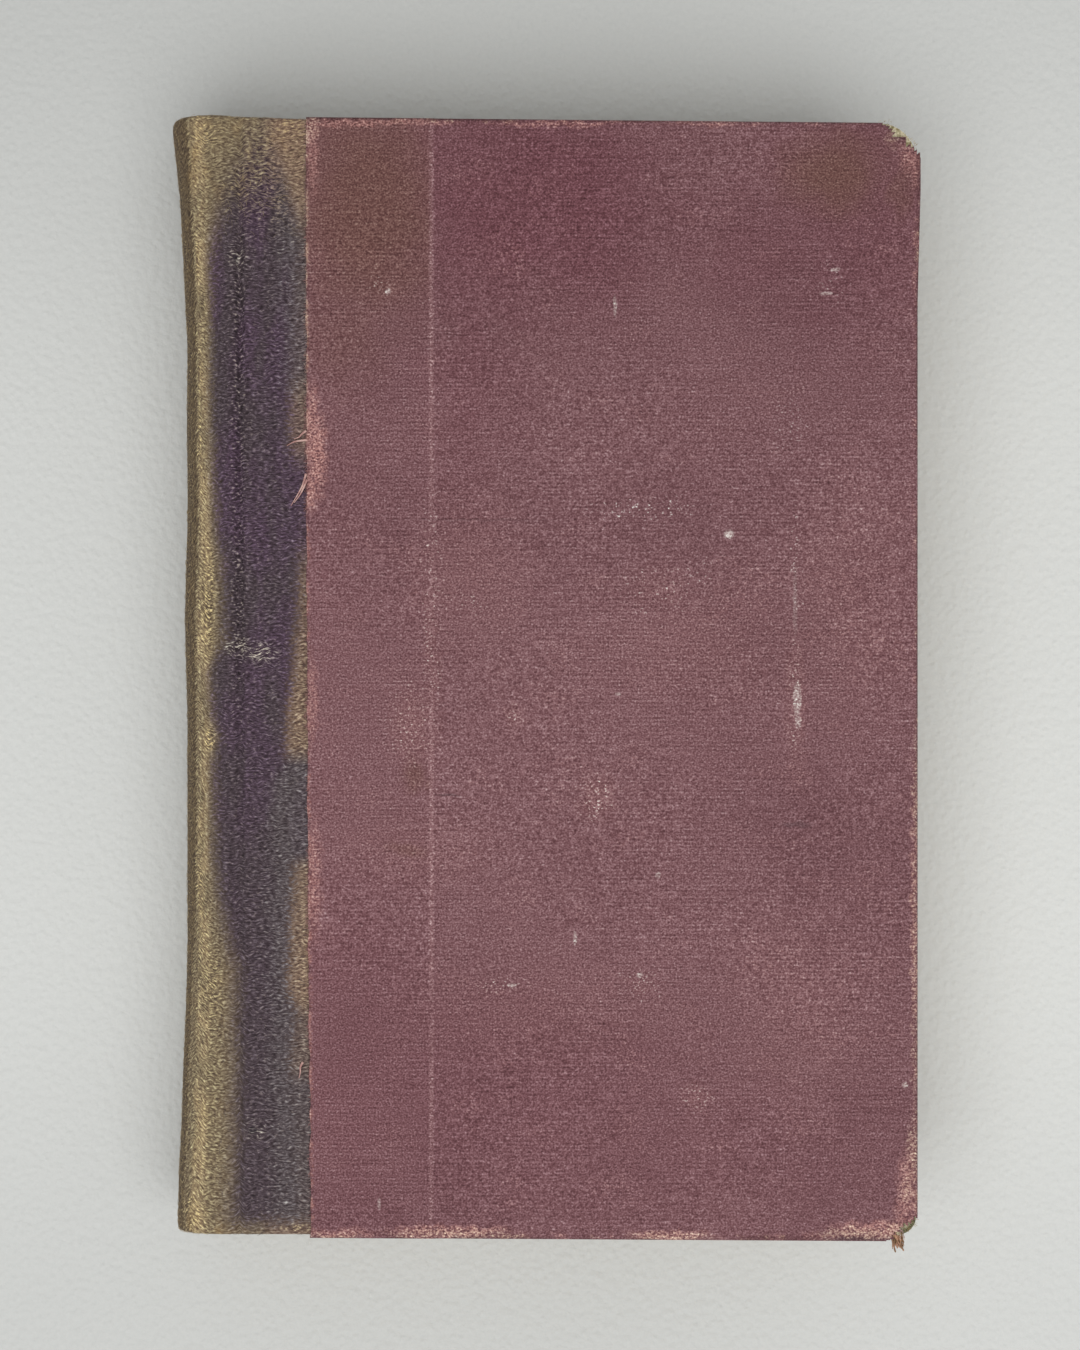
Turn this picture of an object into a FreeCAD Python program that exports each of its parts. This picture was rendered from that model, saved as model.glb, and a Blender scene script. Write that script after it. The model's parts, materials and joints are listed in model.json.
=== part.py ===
import FreeCAD, Part

# A hardback book in an old quarter binding, lying closed on its back cover.
# A napped cloth covers the rounded spine and laps onto both boards. A plain
# book cloth covers the rest of each board and laps over the spine cloth.
# Inside are the sewn block of pages, its spine linings, the cords it is sewn
# on, its headbands and its endpapers.
# Units are millimetres. X runs from the spine to the fore-edge, Y from tail
# to head and Z up. The origin is under the middle of the book, on the table.

import math
import os

# Driving dimensions of the covers
cover_height = 240.0        # head to tail, over the cloth
cover_width = 145.6         # hinge line to fore-edge, over the cloth
board_thickness = 2.5
board_setback = 1.0         # hinge line to the spine edge of the board
side_cloth = 0.4            # thickness of the plain cloth on the sides
spine_cloth = 0.6           # thickness of the napped cloth on the spine
cloth_pressed = 0.35        # how far the spine cloth is pressed into the board
spine_cloth_reach = 41.0    # hinge line to the hidden edge of the spine cloth
side_cloth_start = 14.0     # hinge line to the visible edge of the side cloth
turn_in = 15.0              # cloth folded over onto the inside of the board
hinge_gap = 0.25            # from the hinge line to the cloth on either side

# Driving dimensions of the block of pages
page_stack = 27.0           # thickness of the block at the fore-edge
square = 3.5                # how far the board stands past the pages
fore_edge_hollow = 5.0      # depth of the hollow in the fore-edge
shoulder_foot = 0.4         # hinge line to the foot of the shoulder
endpaper = 0.3
air_gap = 0.1               # between the flyleaf and the pastedown

# Driving dimensions of the spine
spine_projection = 13.5     # hinge line to the outermost middle of the spine
shoulder_crest = 1.2        # hinge line back to the crest of the shoulder
crest_clearance = 0.3       # crest below the turning edge of the cover
inlay_thickness = 0.6
lining_thickness = 0.4
mull_thickness = 0.3
mull_short = 10.0           # mull stops this far inside the head and tail
head_rise = 0.6             # head cap above the boards
tail_short = 1.0            # tail cap inside the boards

# Outward swell of the spine, as distance from the head and swell. The last
# distance is the tail.
spine_swell = [
    (0.0, 3.2), (6.0, 2.6), (15.0, 1.6), (30.0, 0.9), (46.0, 0.1),
    (88.0, 0.0), (107.0, 0.6), (130.0, 0.0), (178.0, 0.0), (200.0, 0.6),
    (216.0, 1.2), (229.0, 1.9), (239.6, 2.2),
]

# Sewing, headbands and what is pasted on the inside of the boards
cord_count = 5
cord_diameter = 1.4
cord_sink = 0.5             # middle of a cord below the back of the pages
cord_end_margin = 26.0      # outer cords from the ends of the pages
slip_length = 22.0
slip_width = 7.0
slip_thickness = 0.3
headband_diameter = 2.4
headband_seat = 0.3
mull_flange_width = 24.0
flange_setback = 0.2
sheet_fold = 0.3            # room where the pastedown steps over an edge

# Hidden corner tips, and the corners as they are worn now
tip_leg = 24.0
tip_thickness = 0.35
worn_corners = {
    "front_head": (8.0, 2.2),
    "front_tail": (4.0, 1.2),
    "back_head": (5.0, 1.4),
    "back_tail": (4.5, 1.2),
}

# Levels, measured up from the middle of the pages
lap_proud = spine_cloth - cloth_pressed + side_cloth
pages_top = page_stack / 2
flyleaf_top = pages_top + endpaper
paste_face = flyleaf_top + air_gap
board_in = paste_face + endpaper + lap_proud
board_out = board_in + board_thickness
hinge_z = board_out + spine_cloth - cloth_pressed
half_thickness = board_out + lap_proud

# Places along the width and the height
board_end = cover_width - side_cloth
board_half = cover_height / 2 - lap_proud
pages_end = cover_width - square
pages_half = cover_height / 2 - square
spine_head = cover_height / 2 + head_rise
spine_tail = -cover_height / 2 + tail_short
crest_x = -shoulder_crest
crest_z = hinge_z - crest_clearance
strip_half = board_half - cloth_pressed + spine_cloth

# Depth of each layer below the outside of the spine
inlay_depth = spine_cloth
hollow_depth = inlay_depth + inlay_thickness
lining_depth = hollow_depth + spine_cloth
mull_depth = lining_depth + lining_thickness
pages_depth = mull_depth + mull_thickness

# The finished frame: origin under the middle of the bounding box
most_swell = max(swell for _, swell in spine_swell)
shift_x = (spine_projection + most_swell - cover_width) / 2
shift_y = -(spine_head - cover_height / 2) / 2
SHIFT = FreeCAD.Vector(shift_x, shift_y, half_thickness)
FAR = 4 * cover_height


def vector(x, y, z):
    return FreeCAD.Vector(x, y, z)


def box(x0, x1, y0, y1, z0, z1):
    """A box between two corners."""
    return Part.makeBox(x1 - x0, y1 - y0, z1 - z0, vector(x0, y0, z0))


def wide_box(x0, x1, half, z0, z1):
    """A box that runs as far to the head as to the tail."""
    return box(x0, x1, -half, half, z0, z1)


def join(first, *others):
    """Several touching shapes made one solid."""
    return first.multiFuse(list(others)).removeSplitter()


def spine_section(depth, swell, y):
    """Closed outline across the spine, a depth below its outside."""
    top = crest_z - depth
    apex = -spine_projection - swell + depth
    corner_up = vector(-hinge_gap, y, top)
    crest_up = vector(crest_x, y, top)
    crest_down = vector(crest_x, y, -top)
    corner_down = vector(-hinge_gap, y, -top)
    arc = Part.Arc(crest_up, vector(apex, y, 0), crest_down).toShape()
    edges = [
        Part.makeLine(corner_up, crest_up),
        arc,
        Part.makeLine(crest_down, corner_down),
        Part.makeLine(corner_down, corner_up),
    ]
    return Part.Wire(edges)


def swollen_core(depth):
    """Everything inside the swollen spine, a depth below its outside."""
    scale = (spine_head - spine_tail) / spine_swell[-1][0]
    wires = [
        spine_section(depth, swell, spine_head - distance * scale)
        for distance, swell in spine_swell
    ]
    return Part.makeLoft(wires, True, False)


def plain_core(depth, y0, y1):
    """Everything inside the plain rounded spine, without the swell."""
    face = Part.Face(spine_section(depth, 0.0, y0))
    return face.extrude(vector(0, y1 - y0, 0))


def spine_side(shape):
    """The part of a shape behind the crest of the shoulders."""
    return shape.common(wide_box(-FAR, crest_x, FAR, -FAR, FAR))


def spine_layer(depth, thickness, y0, y1):
    """A plain curved layer glued to the back of the pages."""
    outer = plain_core(depth, y0, y1)
    return spine_side(outer.cut(plain_core(depth + thickness, y0, y1)))


def make_spine_cover_and_inlay():
    """The napped cloth, folded in at head and tail round a card inlay."""
    outside = swollen_core(0.0)
    inlay_face = swollen_core(inlay_depth)
    hollow_face = swollen_core(hollow_depth)
    fold_face = swollen_core(lining_depth)
    skin = outside.cut(inlay_face)
    shell = spine_side(outside.cut(fold_face))
    folded = spine_side(hollow_face.cut(fold_face))
    ends = []
    for y0, y1, wall0, wall1 in (
        (spine_head - turn_in, spine_head, spine_head - spine_cloth, spine_head),
        (spine_tail, spine_tail + turn_in, spine_tail, spine_tail + spine_cloth),
    ):
        ends.append(shell.common(box(-FAR, FAR, wall0, wall1, -FAR, FAR)))
        ends.append(folded.common(box(-FAR, FAR, y0, y1, -FAR, FAR)))
    cover = join(skin, *ends)
    card = spine_side(inlay_face.cut(hollow_face))
    card_room = box(-FAR, FAR, spine_tail + spine_cloth, spine_head - spine_cloth, -FAR, FAR)
    return cover, card.common(card_room)


def pages_arc():
    """Centre and radius of the rounded back of the pages."""
    half = crest_z - pages_depth
    sagitta = spine_projection - pages_depth - shoulder_crest
    radius = (half * half + sagitta * sagitta) / (2 * sagitta)
    return crest_x - sagitta + radius, radius


def ring_in_pages(radius, thickness, y):
    """A round rod bent round the back of the pages, at a height."""
    centre_x, _ = pages_arc()
    ring = Part.makeTorus(radius, thickness / 2, vector(centre_x, y, 0), vector(0, 1, 0))
    return spine_side(ring)


def cord_heights():
    """Evenly spaced heights of the sewing cords."""
    first = -pages_half + cord_end_margin
    step = 2 * (pages_half - cord_end_margin) / (cord_count - 1)
    return [first + step * index for index in range(cord_count)]


def make_pages():
    """The sewn block: rounded back, shoulders and hollow fore-edge."""
    ear = crest_z - pages_depth
    apex = -spine_projection + pages_depth
    y = -pages_half
    corners = [
        vector(crest_x, y, ear),
        vector(shoulder_foot, y, pages_top),
        vector(pages_end, y, pages_top),
    ]
    below = [vector(p.x, p.y, -p.z) for p in corners]
    hollow = vector(pages_end - fore_edge_hollow, y, 0)
    edges = [
        Part.makeLine(corners[0], corners[1]),
        Part.makeLine(corners[1], corners[2]),
        Part.Arc(corners[2], hollow, below[2]).toShape(),
        Part.makeLine(below[2], below[1]),
        Part.makeLine(below[1], below[0]),
        Part.Arc(below[0], vector(apex, y, 0), corners[0]).toShape(),
    ]
    return Part.Face(Part.Wire(edges)).extrude(vector(0, 2 * pages_half, 0))


def text_block_pieces():
    """The pages and all that stays with them when a cover turns."""
    _, back_radius = pages_arc()
    pages = make_pages()
    pieces = {}
    for number, y in enumerate(cord_heights(), 1):
        cord = ring_in_pages(back_radius - cord_sink, cord_diameter, y).common(pages)
        pages = pages.cut(cord)
        pieces[f"sewing_cord_{number}"] = cord
    lift = pages_half + headband_diameter / 2 - headband_seat
    band_radius = back_radius - headband_diameter / 2
    pieces["headband"] = ring_in_pages(band_radius, headband_diameter, lift).cut(pages)
    pieces["tailband"] = ring_in_pages(band_radius, headband_diameter, -lift).cut(pages)
    pieces["text_block"] = pages
    mull_half = pages_half - mull_short
    pieces["spine_mull"] = spine_layer(mull_depth, mull_thickness, -mull_half, mull_half)
    pieces["spine_lining"] = spine_layer(
        lining_depth, lining_thickness, -pages_half, pages_half
    )
    pieces["spine_cover"], pieces["spine_inlay"] = make_spine_cover_and_inlay()
    pieces["front_flyleaf"] = wide_box(
        shoulder_foot, pages_end, pages_half, pages_top, flyleaf_top
    )
    pieces["back_flyleaf"] = wide_box(
        shoulder_foot, pages_end, pages_half, -flyleaf_top, -pages_top
    )
    return pieces


def board_blank():
    """The board, pressed in a little where the spine cloth lies."""
    press = cloth_pressed
    under_cloth = wide_box(
        board_setback, spine_cloth_reach, board_half - press, board_in + press, board_out - press
    )
    bare = wide_box(spine_cloth_reach, board_end, board_half, board_in, board_out)
    return join(under_cloth, bare)


def make_spine_strip():
    """The spine cloth on one board, folded over its head and tail."""
    low = board_in + cloth_pressed - spine_cloth
    wrap = wide_box(board_setback, spine_cloth_reach, strip_half, low, hinge_z)
    tongue = wide_box(hinge_gap, board_setback, strip_half, hinge_z - spine_cloth, hinge_z)
    window = wide_box(
        0, spine_cloth_reach, board_half - turn_in, low, board_in + cloth_pressed
    )
    return join(wrap, tongue).cut(board_blank()).cut(window)


def make_side_cloth(strip):
    """The side cloth, over the spine cloth and round three edges."""
    lap = lap_proud
    over_strip = wide_box(
        side_cloth_start,
        spine_cloth_reach + side_cloth,
        board_half + lap,
        board_in - lap,
        board_out + lap,
    )
    over_board = wide_box(
        spine_cloth_reach,
        board_end + side_cloth,
        board_half + side_cloth,
        board_in - side_cloth,
        board_out + side_cloth,
    )
    filled = wide_box(
        board_setback, spine_cloth_reach, strip_half, board_in + cloth_pressed - spine_cloth, hinge_z
    )
    window = wide_box(
        0, board_end - turn_in, board_half - turn_in, board_in - lap, board_in
    )
    cloth = join(over_strip, over_board)
    return cloth.cut(filled).cut(board_blank()).cut(strip).cut(window)


def corner_cutter(radius, worn_back, end):
    """What is worn off a fore-edge corner. end is 1 at the head, -1 at the tail."""
    centre_x = board_end - radius
    centre_y = board_half - radius
    reach = radius + side_cloth + 1.0
    block = Part.makeBox(reach, reach, FAR, vector(centre_x, centre_y, -FAR / 2))
    round_part = Part.makeCylinder(
        radius - worn_back, FAR, vector(centre_x, centre_y, -FAR / 2)
    )
    cutter = block.cut(round_part)
    return cutter if end > 0 else cutter.mirror(vector(0, 0, 0), vector(0, 1, 0))


def make_corner_tip(end):
    """The stiff tip under the cloth at one fore-edge corner of the board."""
    corner = vector(board_end, end * board_half, board_in)
    along_x = vector(board_end - tip_leg, end * board_half, board_in)
    along_y = vector(board_end, end * (board_half - tip_leg), board_in)
    outline = Part.makePolygon([corner, along_x, along_y, corner])
    prism = Part.Face(outline).extrude(vector(0, 0, board_thickness))
    core = wide_box(
        0,
        board_end - tip_thickness,
        board_half - tip_thickness,
        board_in + tip_thickness,
        board_out - tip_thickness,
    )
    return prism.cut(core)


def make_cord_slips():
    """Frayed-out ends of the cords, let into the inside of the board."""
    start = board_setback
    level = board_in + cloth_pressed
    return [
        box(
            start,
            start + slip_length,
            y - slip_width / 2,
            y + slip_width / 2,
            level,
            level + slip_thickness,
        )
        for y in cord_heights()
    ]


def make_mull_flange():
    """The mull pasted on the inside of the board, over the cord slips."""
    start = board_setback + flange_setback
    half = min(pages_half - mull_short, board_half - turn_in - sheet_fold)
    level = board_in + cloth_pressed
    return wide_box(start, start + mull_flange_width, half, level - mull_thickness, level)


def make_pastedown(flange, others):
    """The endpaper half on the board, stepping over every edge below it."""
    start = board_setback + flange_setback
    low = paste_face
    sheet = wide_box(start, pages_end, pages_half, low, board_in + cloth_pressed)
    field_half = board_half - turn_in - sheet_fold
    field_end = board_end - turn_in - sheet_fold
    past_flange = start + mull_flange_width + sheet_fold
    past_press = spine_cloth_reach + sheet_fold
    pressed_in = board_in + cloth_pressed
    over_flange = wide_box(
        start, past_flange, field_half, low, pressed_in - mull_thickness - endpaper
    )
    over_press = wide_box(past_flange, past_press, field_half, low, pressed_in - endpaper)
    over_board = wide_box(past_press, field_end, field_half, low, board_in - endpaper)
    shaped = sheet.cut(over_flange).cut(over_press).cut(over_board).cut(flange)
    return shaped.cut(Part.makeCompound(others))


def cover_pieces(side):
    """One cover, made as the front one and turned over for the back."""
    board = board_blank()
    strip = make_spine_strip()
    cloth = make_side_cloth(strip)
    pieces = {}
    tips = []
    for end_name, end in (("head", 1), ("tail", -1)):
        radius, cloth_worn = worn_corners[f"{side}_{end_name}"]
        board_cutter = corner_cutter(radius, 0.0, end)
        tip = make_corner_tip(end)
        board = board.cut(tip).cut(board_cutter)
        cloth = cloth.cut(corner_cutter(radius, cloth_worn, end))
        tips.append(tip)
        pieces[f"{end_name}_corner_tip"] = tip.cut(board_cutter)
    for number, slip in enumerate(make_cord_slips(), 1):
        board = board.cut(slip)
        pieces[f"cord_slip_{number}"] = slip
    flange = make_mull_flange()
    pieces["board"] = board
    pieces["spine_strip"] = strip
    pieces["side_cloth"] = cloth
    pieces["mull_flange"] = flange
    pieces["pastedown"] = make_pastedown(flange, [board, strip, cloth, *tips])
    if side == "back":
        middle = vector(0, 0, 0)
        pieces = {name: s.mirror(middle, vector(0, 0, 1)) for name, s in pieces.items()}
    return {f"{side}_{name}": shape for name, shape in pieces.items()}


def main():
    pieces = text_block_pieces()
    for side in ("front", "back"):
        pieces.update(cover_pieces(side))
    os.makedirs("parts", exist_ok=True)
    for name, shape in sorted(pieces.items()):
        placed = shape.translated(SHIFT)
        placed.exportStep(f"parts/{name}.step")
        count = len(placed.Solids)
        print(f"{name}: {count} solid(s), valid {placed.isValid()}, {placed.Volume:.1f} mm3")
    print(f"nodes: {len(pieces)}")
    print(f"hinge line x {shift_x:.3f}, front z {half_thickness + hinge_z:.3f}, "
          f"back z {half_thickness - hinge_z:.3f}")
    print(f"thickness {2 * half_thickness:.3f}, turning radius of the back "
          f"{pages_arc()[1]:.2f}")


main()
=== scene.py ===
# %% [markdown]
# # An old quarter-bound book
# The book lies closed on its back cover. Its spine and the strip beside it wear a
# napped cloth that has faded from purple to tan, and the rest of each cover wears
# a plain maroon book cloth with a coarse weave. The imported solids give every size
# and every hinge. This script dresses them: it models the cloths, the pages, the
# headbands and the frayed edges, and writes the finish of every surface as nodes.

import json
import math

import bmesh
import bpy
import numpy as np
from mathutils import Matrix, Vector


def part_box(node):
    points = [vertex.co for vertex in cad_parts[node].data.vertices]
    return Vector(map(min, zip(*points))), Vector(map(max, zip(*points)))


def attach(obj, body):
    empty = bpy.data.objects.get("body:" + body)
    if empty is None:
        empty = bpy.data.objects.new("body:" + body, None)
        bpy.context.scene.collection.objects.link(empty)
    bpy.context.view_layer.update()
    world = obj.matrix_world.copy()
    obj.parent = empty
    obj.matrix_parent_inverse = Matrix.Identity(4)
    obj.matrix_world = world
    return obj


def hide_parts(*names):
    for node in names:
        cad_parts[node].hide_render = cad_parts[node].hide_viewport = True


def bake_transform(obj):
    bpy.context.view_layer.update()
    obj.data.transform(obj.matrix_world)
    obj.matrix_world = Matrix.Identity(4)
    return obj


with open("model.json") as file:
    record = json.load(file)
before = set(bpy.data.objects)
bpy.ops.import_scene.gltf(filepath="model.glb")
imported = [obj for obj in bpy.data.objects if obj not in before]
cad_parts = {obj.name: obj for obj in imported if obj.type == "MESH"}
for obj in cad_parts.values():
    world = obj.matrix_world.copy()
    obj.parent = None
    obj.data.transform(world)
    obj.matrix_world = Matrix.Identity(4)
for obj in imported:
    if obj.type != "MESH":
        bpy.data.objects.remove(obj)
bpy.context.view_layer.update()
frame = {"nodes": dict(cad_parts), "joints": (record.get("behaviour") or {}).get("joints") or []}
nodes = frame["nodes"]
hinge = {joint["child"]: Vector(joint["pos_m"]) for joint in frame["joints"]}
MM = 0.001

# %% [markdown]
# ## Where things are
# All shapes below are worked out in a local frame: X from the hinge line towards
# the fore-edge, Y from the tail to the head, Z up from the middle of the pages.
# The numbers are read from the solids, so each dressed piece sits on the solid
# that carries it.

# %% Sizes read from the solids
hinge_x = hinge["front_cover"].x / MM
middle_z = (hinge["front_cover"].z + hinge["back_cover"].z) / 2 / MM
turn_z = hinge["front_cover"].z / MM - middle_z


def solid_box(node):
    """Lowest and highest corner of a solid in the local frame, in millimetres."""
    low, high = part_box(node)
    place = np.array((hinge_x, 0.0, middle_z))
    return np.array(low) / MM - place, np.array(high) / MM - place


cloth_low, cloth_high = solid_box("front_side_cloth")
board_high = solid_box("front_board")[1]
strip_low, strip_high = solid_box("front_spine_strip")
spine_low, spine_high = solid_box("spine_cover")
pages_low, pages_high = solid_box("text_block")
leaf_low, leaf_high = solid_box("front_flyleaf")
paste_low = solid_box("front_pastedown")[0]
middle_y = (cloth_low[1] + cloth_high[1]) / 2
sides = (("front", 1), ("back", -1))
ends = (("head", 1), ("tail", -1))
print("hinge line at", round(hinge_x, 2), "seam at", round(cloth_low[0], 2), "mm")

# %% [markdown]
# ## Camera
# The photograph looks straight down at the middle of the front cover. One of its
# pixels is 0.2147 mm on the cover's face, because the cover is 240 mm tall there.
# The same scale turns a mark's place in the photograph into a place on the cover.

# %% Camera straight above the cover
photo_width = 1080
photo_height = 1350
pixel_mm = 0.2147
hinge_pixel_x = 240.0
cover_middle_pixel_y = 679.0
camera_above_cover = 560.0


def on_cover(pixel_x, pixel_y):
    """A photograph pixel as local X and Y on the front cover, in millimetres."""
    return (
        (pixel_x - hinge_pixel_x) * pixel_mm,
        (cover_middle_pixel_y - pixel_y) * pixel_mm + middle_y,
    )


def local_to_world(x, y, z):
    """A local place in millimetres as a world place in metres."""
    return Vector(((x + hinge_x) * MM, y * MM, (z + middle_z) * MM))


camera_data = bpy.data.cameras.new("camera")
camera = bpy.data.objects.new("camera", camera_data)
bpy.context.scene.collection.objects.link(camera)
bpy.context.scene.camera = camera
view_x, view_y = on_cover(photo_width / 2, photo_height / 2)
camera.location = local_to_world(view_x, view_y, turn_z + camera_above_cover)
camera_data.sensor_width = 36.0
camera_data.lens = camera_data.sensor_width * camera_above_cover / (photo_height * pixel_mm)
print("lens", round(camera_data.lens, 1), "mm")

# %% [markdown]
# ## Shader maths as Python
# A node tree is easier to read as an expression. This small class wraps a socket,
# and its operators add the Math nodes. One method makes any other node, first its
# settings and then the values or links of its sockets. It serves Geometry Nodes
# too, because they share the same Math nodes.

# %% A socket with operators


class Wire:
    """One output socket of a node, with Python's operators for its maths."""

    def __init__(self, tree, socket=None):
        self.tree = tree
        self.socket = socket

    def make(self, kind, settings=None, sockets=None, out=0):
        """Any node: its settings first, then the values or links of its sockets."""
        node = self.tree.nodes.new(kind)
        for name, value in (settings or {}).items():
            if name == "stops":
                set_stops(node.color_ramp, value)
            else:
                setattr(node, name, value)
        for name, value in (sockets or {}).items():
            target = node.inputs[name]
            if isinstance(value, Wire):
                self.tree.links.new(value.socket, target)
            else:
                target.default_value = value
        return Wire(self.tree, node.outputs[out])

    def joined(self, x=0.0, y=0.0, z=0.0):
        """A vector from its X, Y and Z."""
        return self.make("ShaderNodeCombineXYZ", None, {0: x, 1: y, 2: z})

    def math(self, operation, *values):
        """One Math node on these values."""
        sockets = dict(enumerate(values))
        return self.make("ShaderNodeMath", {"operation": operation}, sockets)

    def __add__(self, other):
        return self.math("ADD", self, other)

    def __radd__(self, other):
        return self.math("ADD", other, self)

    def __sub__(self, other):
        return self.math("SUBTRACT", self, other)

    def __rsub__(self, other):
        return self.math("SUBTRACT", other, self)

    def __mul__(self, other):
        return self.math("MULTIPLY", self, other)

    def __rmul__(self, other):
        return self.math("MULTIPLY", other, self)

    def __truediv__(self, other):
        return self.math("DIVIDE", self, other)

    def __pow__(self, other):
        return self.math("POWER", self, other)

    def over(self, low, high, below=0.0, above=1.0):
        """0 below low, 1 above high and smooth between them."""
        settings = {"interpolation_type": "SMOOTHSTEP"}
        sockets = {
            "Value": self, "From Min": low, "From Max": high, "To Min": below, "To Max": above,
        }
        return self.make("ShaderNodeMapRange", settings, sockets)

    def under(self, low, high):
        """1 below low, 0 above high and smooth between them."""
        return self.over(low, high, 1.0, 0.0)

    def away_from(self, value):
        """Distance from a value."""
        offset = self - value
        return offset.math("ABSOLUTE", offset)

    def most(self, other):
        """The greater of two."""
        return self.math("MAXIMUM", self, other)

    def wave(self, period):
        """A sine of that period, between 0 and 1."""
        return self.math("SINE", self * (2 * math.pi / period)) * 0.5 + 0.5


def set_stops(ramp, stops):
    """A colour ramp from (place, colour) pairs in rising order."""
    while len(ramp.elements) > 1:
        ramp.elements.remove(ramp.elements[-1])
    for index, (place, colour) in enumerate(stops):
        element = ramp.elements[0] if index == 0 else ramp.elements.new(place)
        element.position = place
        element.color = (*colour, 1.0)


def shade(red, green, blue):
    """A colour as seen on a screen, 0 to 255, turned into linear light."""
    values = (red / 255, green / 255, blue / 255)
    return tuple(v / 12.92 if v <= 0.04045 else ((v + 0.055) / 1.055) ** 2.4 for v in values)


# %% [markdown]
# ## Parts of a finish
# Every finish below is built from the same few parts: noise in millimetres,
# stretched where a thread or fibre runs one way, soft patches at a known place,
# and a mix of two colours. The places are millimetres in the local frame, so a
# stain stays where it is whatever the camera does.

# %% Helpers that all finishes use


class Finish:
    """A material under way: its tree, its surface place in millimetres and helpers."""

    def __init__(self, name, uv_layer=None):
        self.material = bpy.data.materials.new(name)
        self.material.use_nodes = True
        self.tree = self.material.node_tree
        self.shader = self.tree.nodes["Principled BSDF"]
        self.start = Wire(self.tree)
        if uv_layer:
            place = self.start.make("ShaderNodeUVMap", {"uv_map": uv_layer})
            self.place = self.scaled(place, (1 / MM, 1 / MM, 1.0))
        else:
            place = self.start.make("ShaderNodeTexCoord", out=3)
            moved = self.vector("SUBTRACT", place, (hinge_x * MM, 0.0, middle_z * MM))
            self.place = self.scaled(moved, (1 / MM,) * 3)
        self.x, self.y, self.z = self.split(self.place)
        self.shakes = {}

    def vector(self, operation, first, second):
        """One step of vector maths."""
        sockets = {0: first, 1: second}
        return self.start.make("ShaderNodeVectorMath", {"operation": operation}, sockets)

    def scaled(self, vector, factors):
        """A vector times a factor for each axis."""
        return self.vector("MULTIPLY", vector, factors)

    def split(self, vector):
        """The X, Y and Z of a vector."""
        first = self.start.make("ShaderNodeSeparateXYZ", None, {0: vector})
        return [Wire(self.tree, first.socket.node.outputs[i]) for i in range(3)]

    def noise(self, size, detail=2.0, stretch=(1, 1, 1), shift=0.0, rough=0.5):
        """Noise of grains of that size in millimetres, longer along a stretched axis."""
        factors = tuple(1 / (size * s) for s in stretch)
        place = self.vector("ADD", self.scaled(self.place, factors), (shift,) * 3)
        sockets = {"Vector": place, "Scale": 1.0, "Detail": detail, "Roughness": rough}
        return self.start.make("ShaderNodeTexNoise", None, sockets)

    def fibres(self, across, along):
        """Fine noise in a plane that the caller has stretched and bent."""
        place = self.start.joined(across, along)
        sockets = {"Vector": place, "Scale": 1.0, "Detail": 3.0, "Roughness": 0.62}
        return self.start.make("ShaderNodeTexNoise", None, sockets)

    def mix(self, factor, first, second):
        """second over first by a factor."""
        node = self.tree.nodes.new("ShaderNodeMix")
        node.data_type = "RGBA"
        for index, value in ((0, factor), (6, first), (7, second)):
            if isinstance(value, Wire):
                self.tree.links.new(value.socket, node.inputs[index])
            elif index == 0:
                node.inputs[index].default_value = value
            else:
                node.inputs[index].default_value = (*value, 1.0)
        return Wire(self.tree, node.outputs[2])

    def lighten(self, colour, amount):
        """A colour times a varying amount."""
        return self.vector("MULTIPLY", colour, self.start.joined(amount, amount, amount))

    def toned(self, colour, tone, shares):
        """A colour made lighter or darker by doublings, with a share for red, green and blue."""
        factors = [tone.math("POWER", 2.0, tone * share) for share in shares]
        return self.vector("MULTIPLY", colour, self.start.joined(*factors))

    def bent(self, grain, wander):
        """The place moved about by noise, up to that many millimetres."""
        if grain not in self.shakes:
            sockets = {"Vector": self.place, "Scale": 1.0 / grain, "Detail": 2.0}
            shake = self.start.make("ShaderNodeTexNoise", None, sockets, out=1)
            self.shakes[grain] = self.vector("SUBTRACT", shake, (0.5,) * 3)
        return self.vector("ADD", self.place, self.scaled(self.shakes[grain], (4 * wander,) * 3))

    def patch(self, place, middle, half_size, soft, strength):
        """A soft-edged oval patch of that strength at its middle."""
        scale = (1 / half_size[0], 1 / half_size[1], 0.0)
        offset = (-middle[0] * scale[0], -middle[1] * scale[1], 0.0)
        sockets = {0: place, 1: scale, 2: offset}
        unit = self.start.make("ShaderNodeVectorMath", {"operation": "MULTIPLY_ADD"}, sockets)
        length = self.start.make("ShaderNodeVectorMath", {"operation": "LENGTH"}, {0: unit}, out=1)
        return length.over(1 - soft, 1 + soft, strength, 0.0)

    def edge_distance(self):
        """How far inside the cover's three free edges, in millimetres."""
        to_fore_edge = cloth_high[0] - self.x
        to_ends = (cloth_high[1] - cloth_low[1]) / 2 - self.y.away_from(middle_y)
        return to_ends.math("MINIMUM", to_fore_edge, to_ends)

    def done(self, colour, roughness, height=None, strength=1.0, depth=0.3):
        """Feeds the shader. Height is in millimetres times depth."""
        self.tree.links.new(colour.socket, self.shader.inputs["Base Color"])
        if isinstance(roughness, Wire):
            self.tree.links.new(roughness.socket, self.shader.inputs["Roughness"])
        else:
            self.shader.inputs["Roughness"].default_value = roughness
        if height is not None:
            sockets = {"Height": height, "Strength": strength, "Distance": depth * MM}
            bump = self.start.make("ShaderNodeBump", None, sockets)
            self.tree.links.new(bump.socket, self.shader.inputs["Normal"])
        return self.material


# %% [markdown]
# ## The maroon book cloth
# A plain weave of slightly uneven threads. The thick crosswise threads show most,
# as fine lines from side to side, with here and there a slub. The dye has faded
# unevenly: redder at the top, browner beside the spine, paler where hands and
# shelves rubbed it, and worn through to pink and tan threads along its edges.

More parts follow.
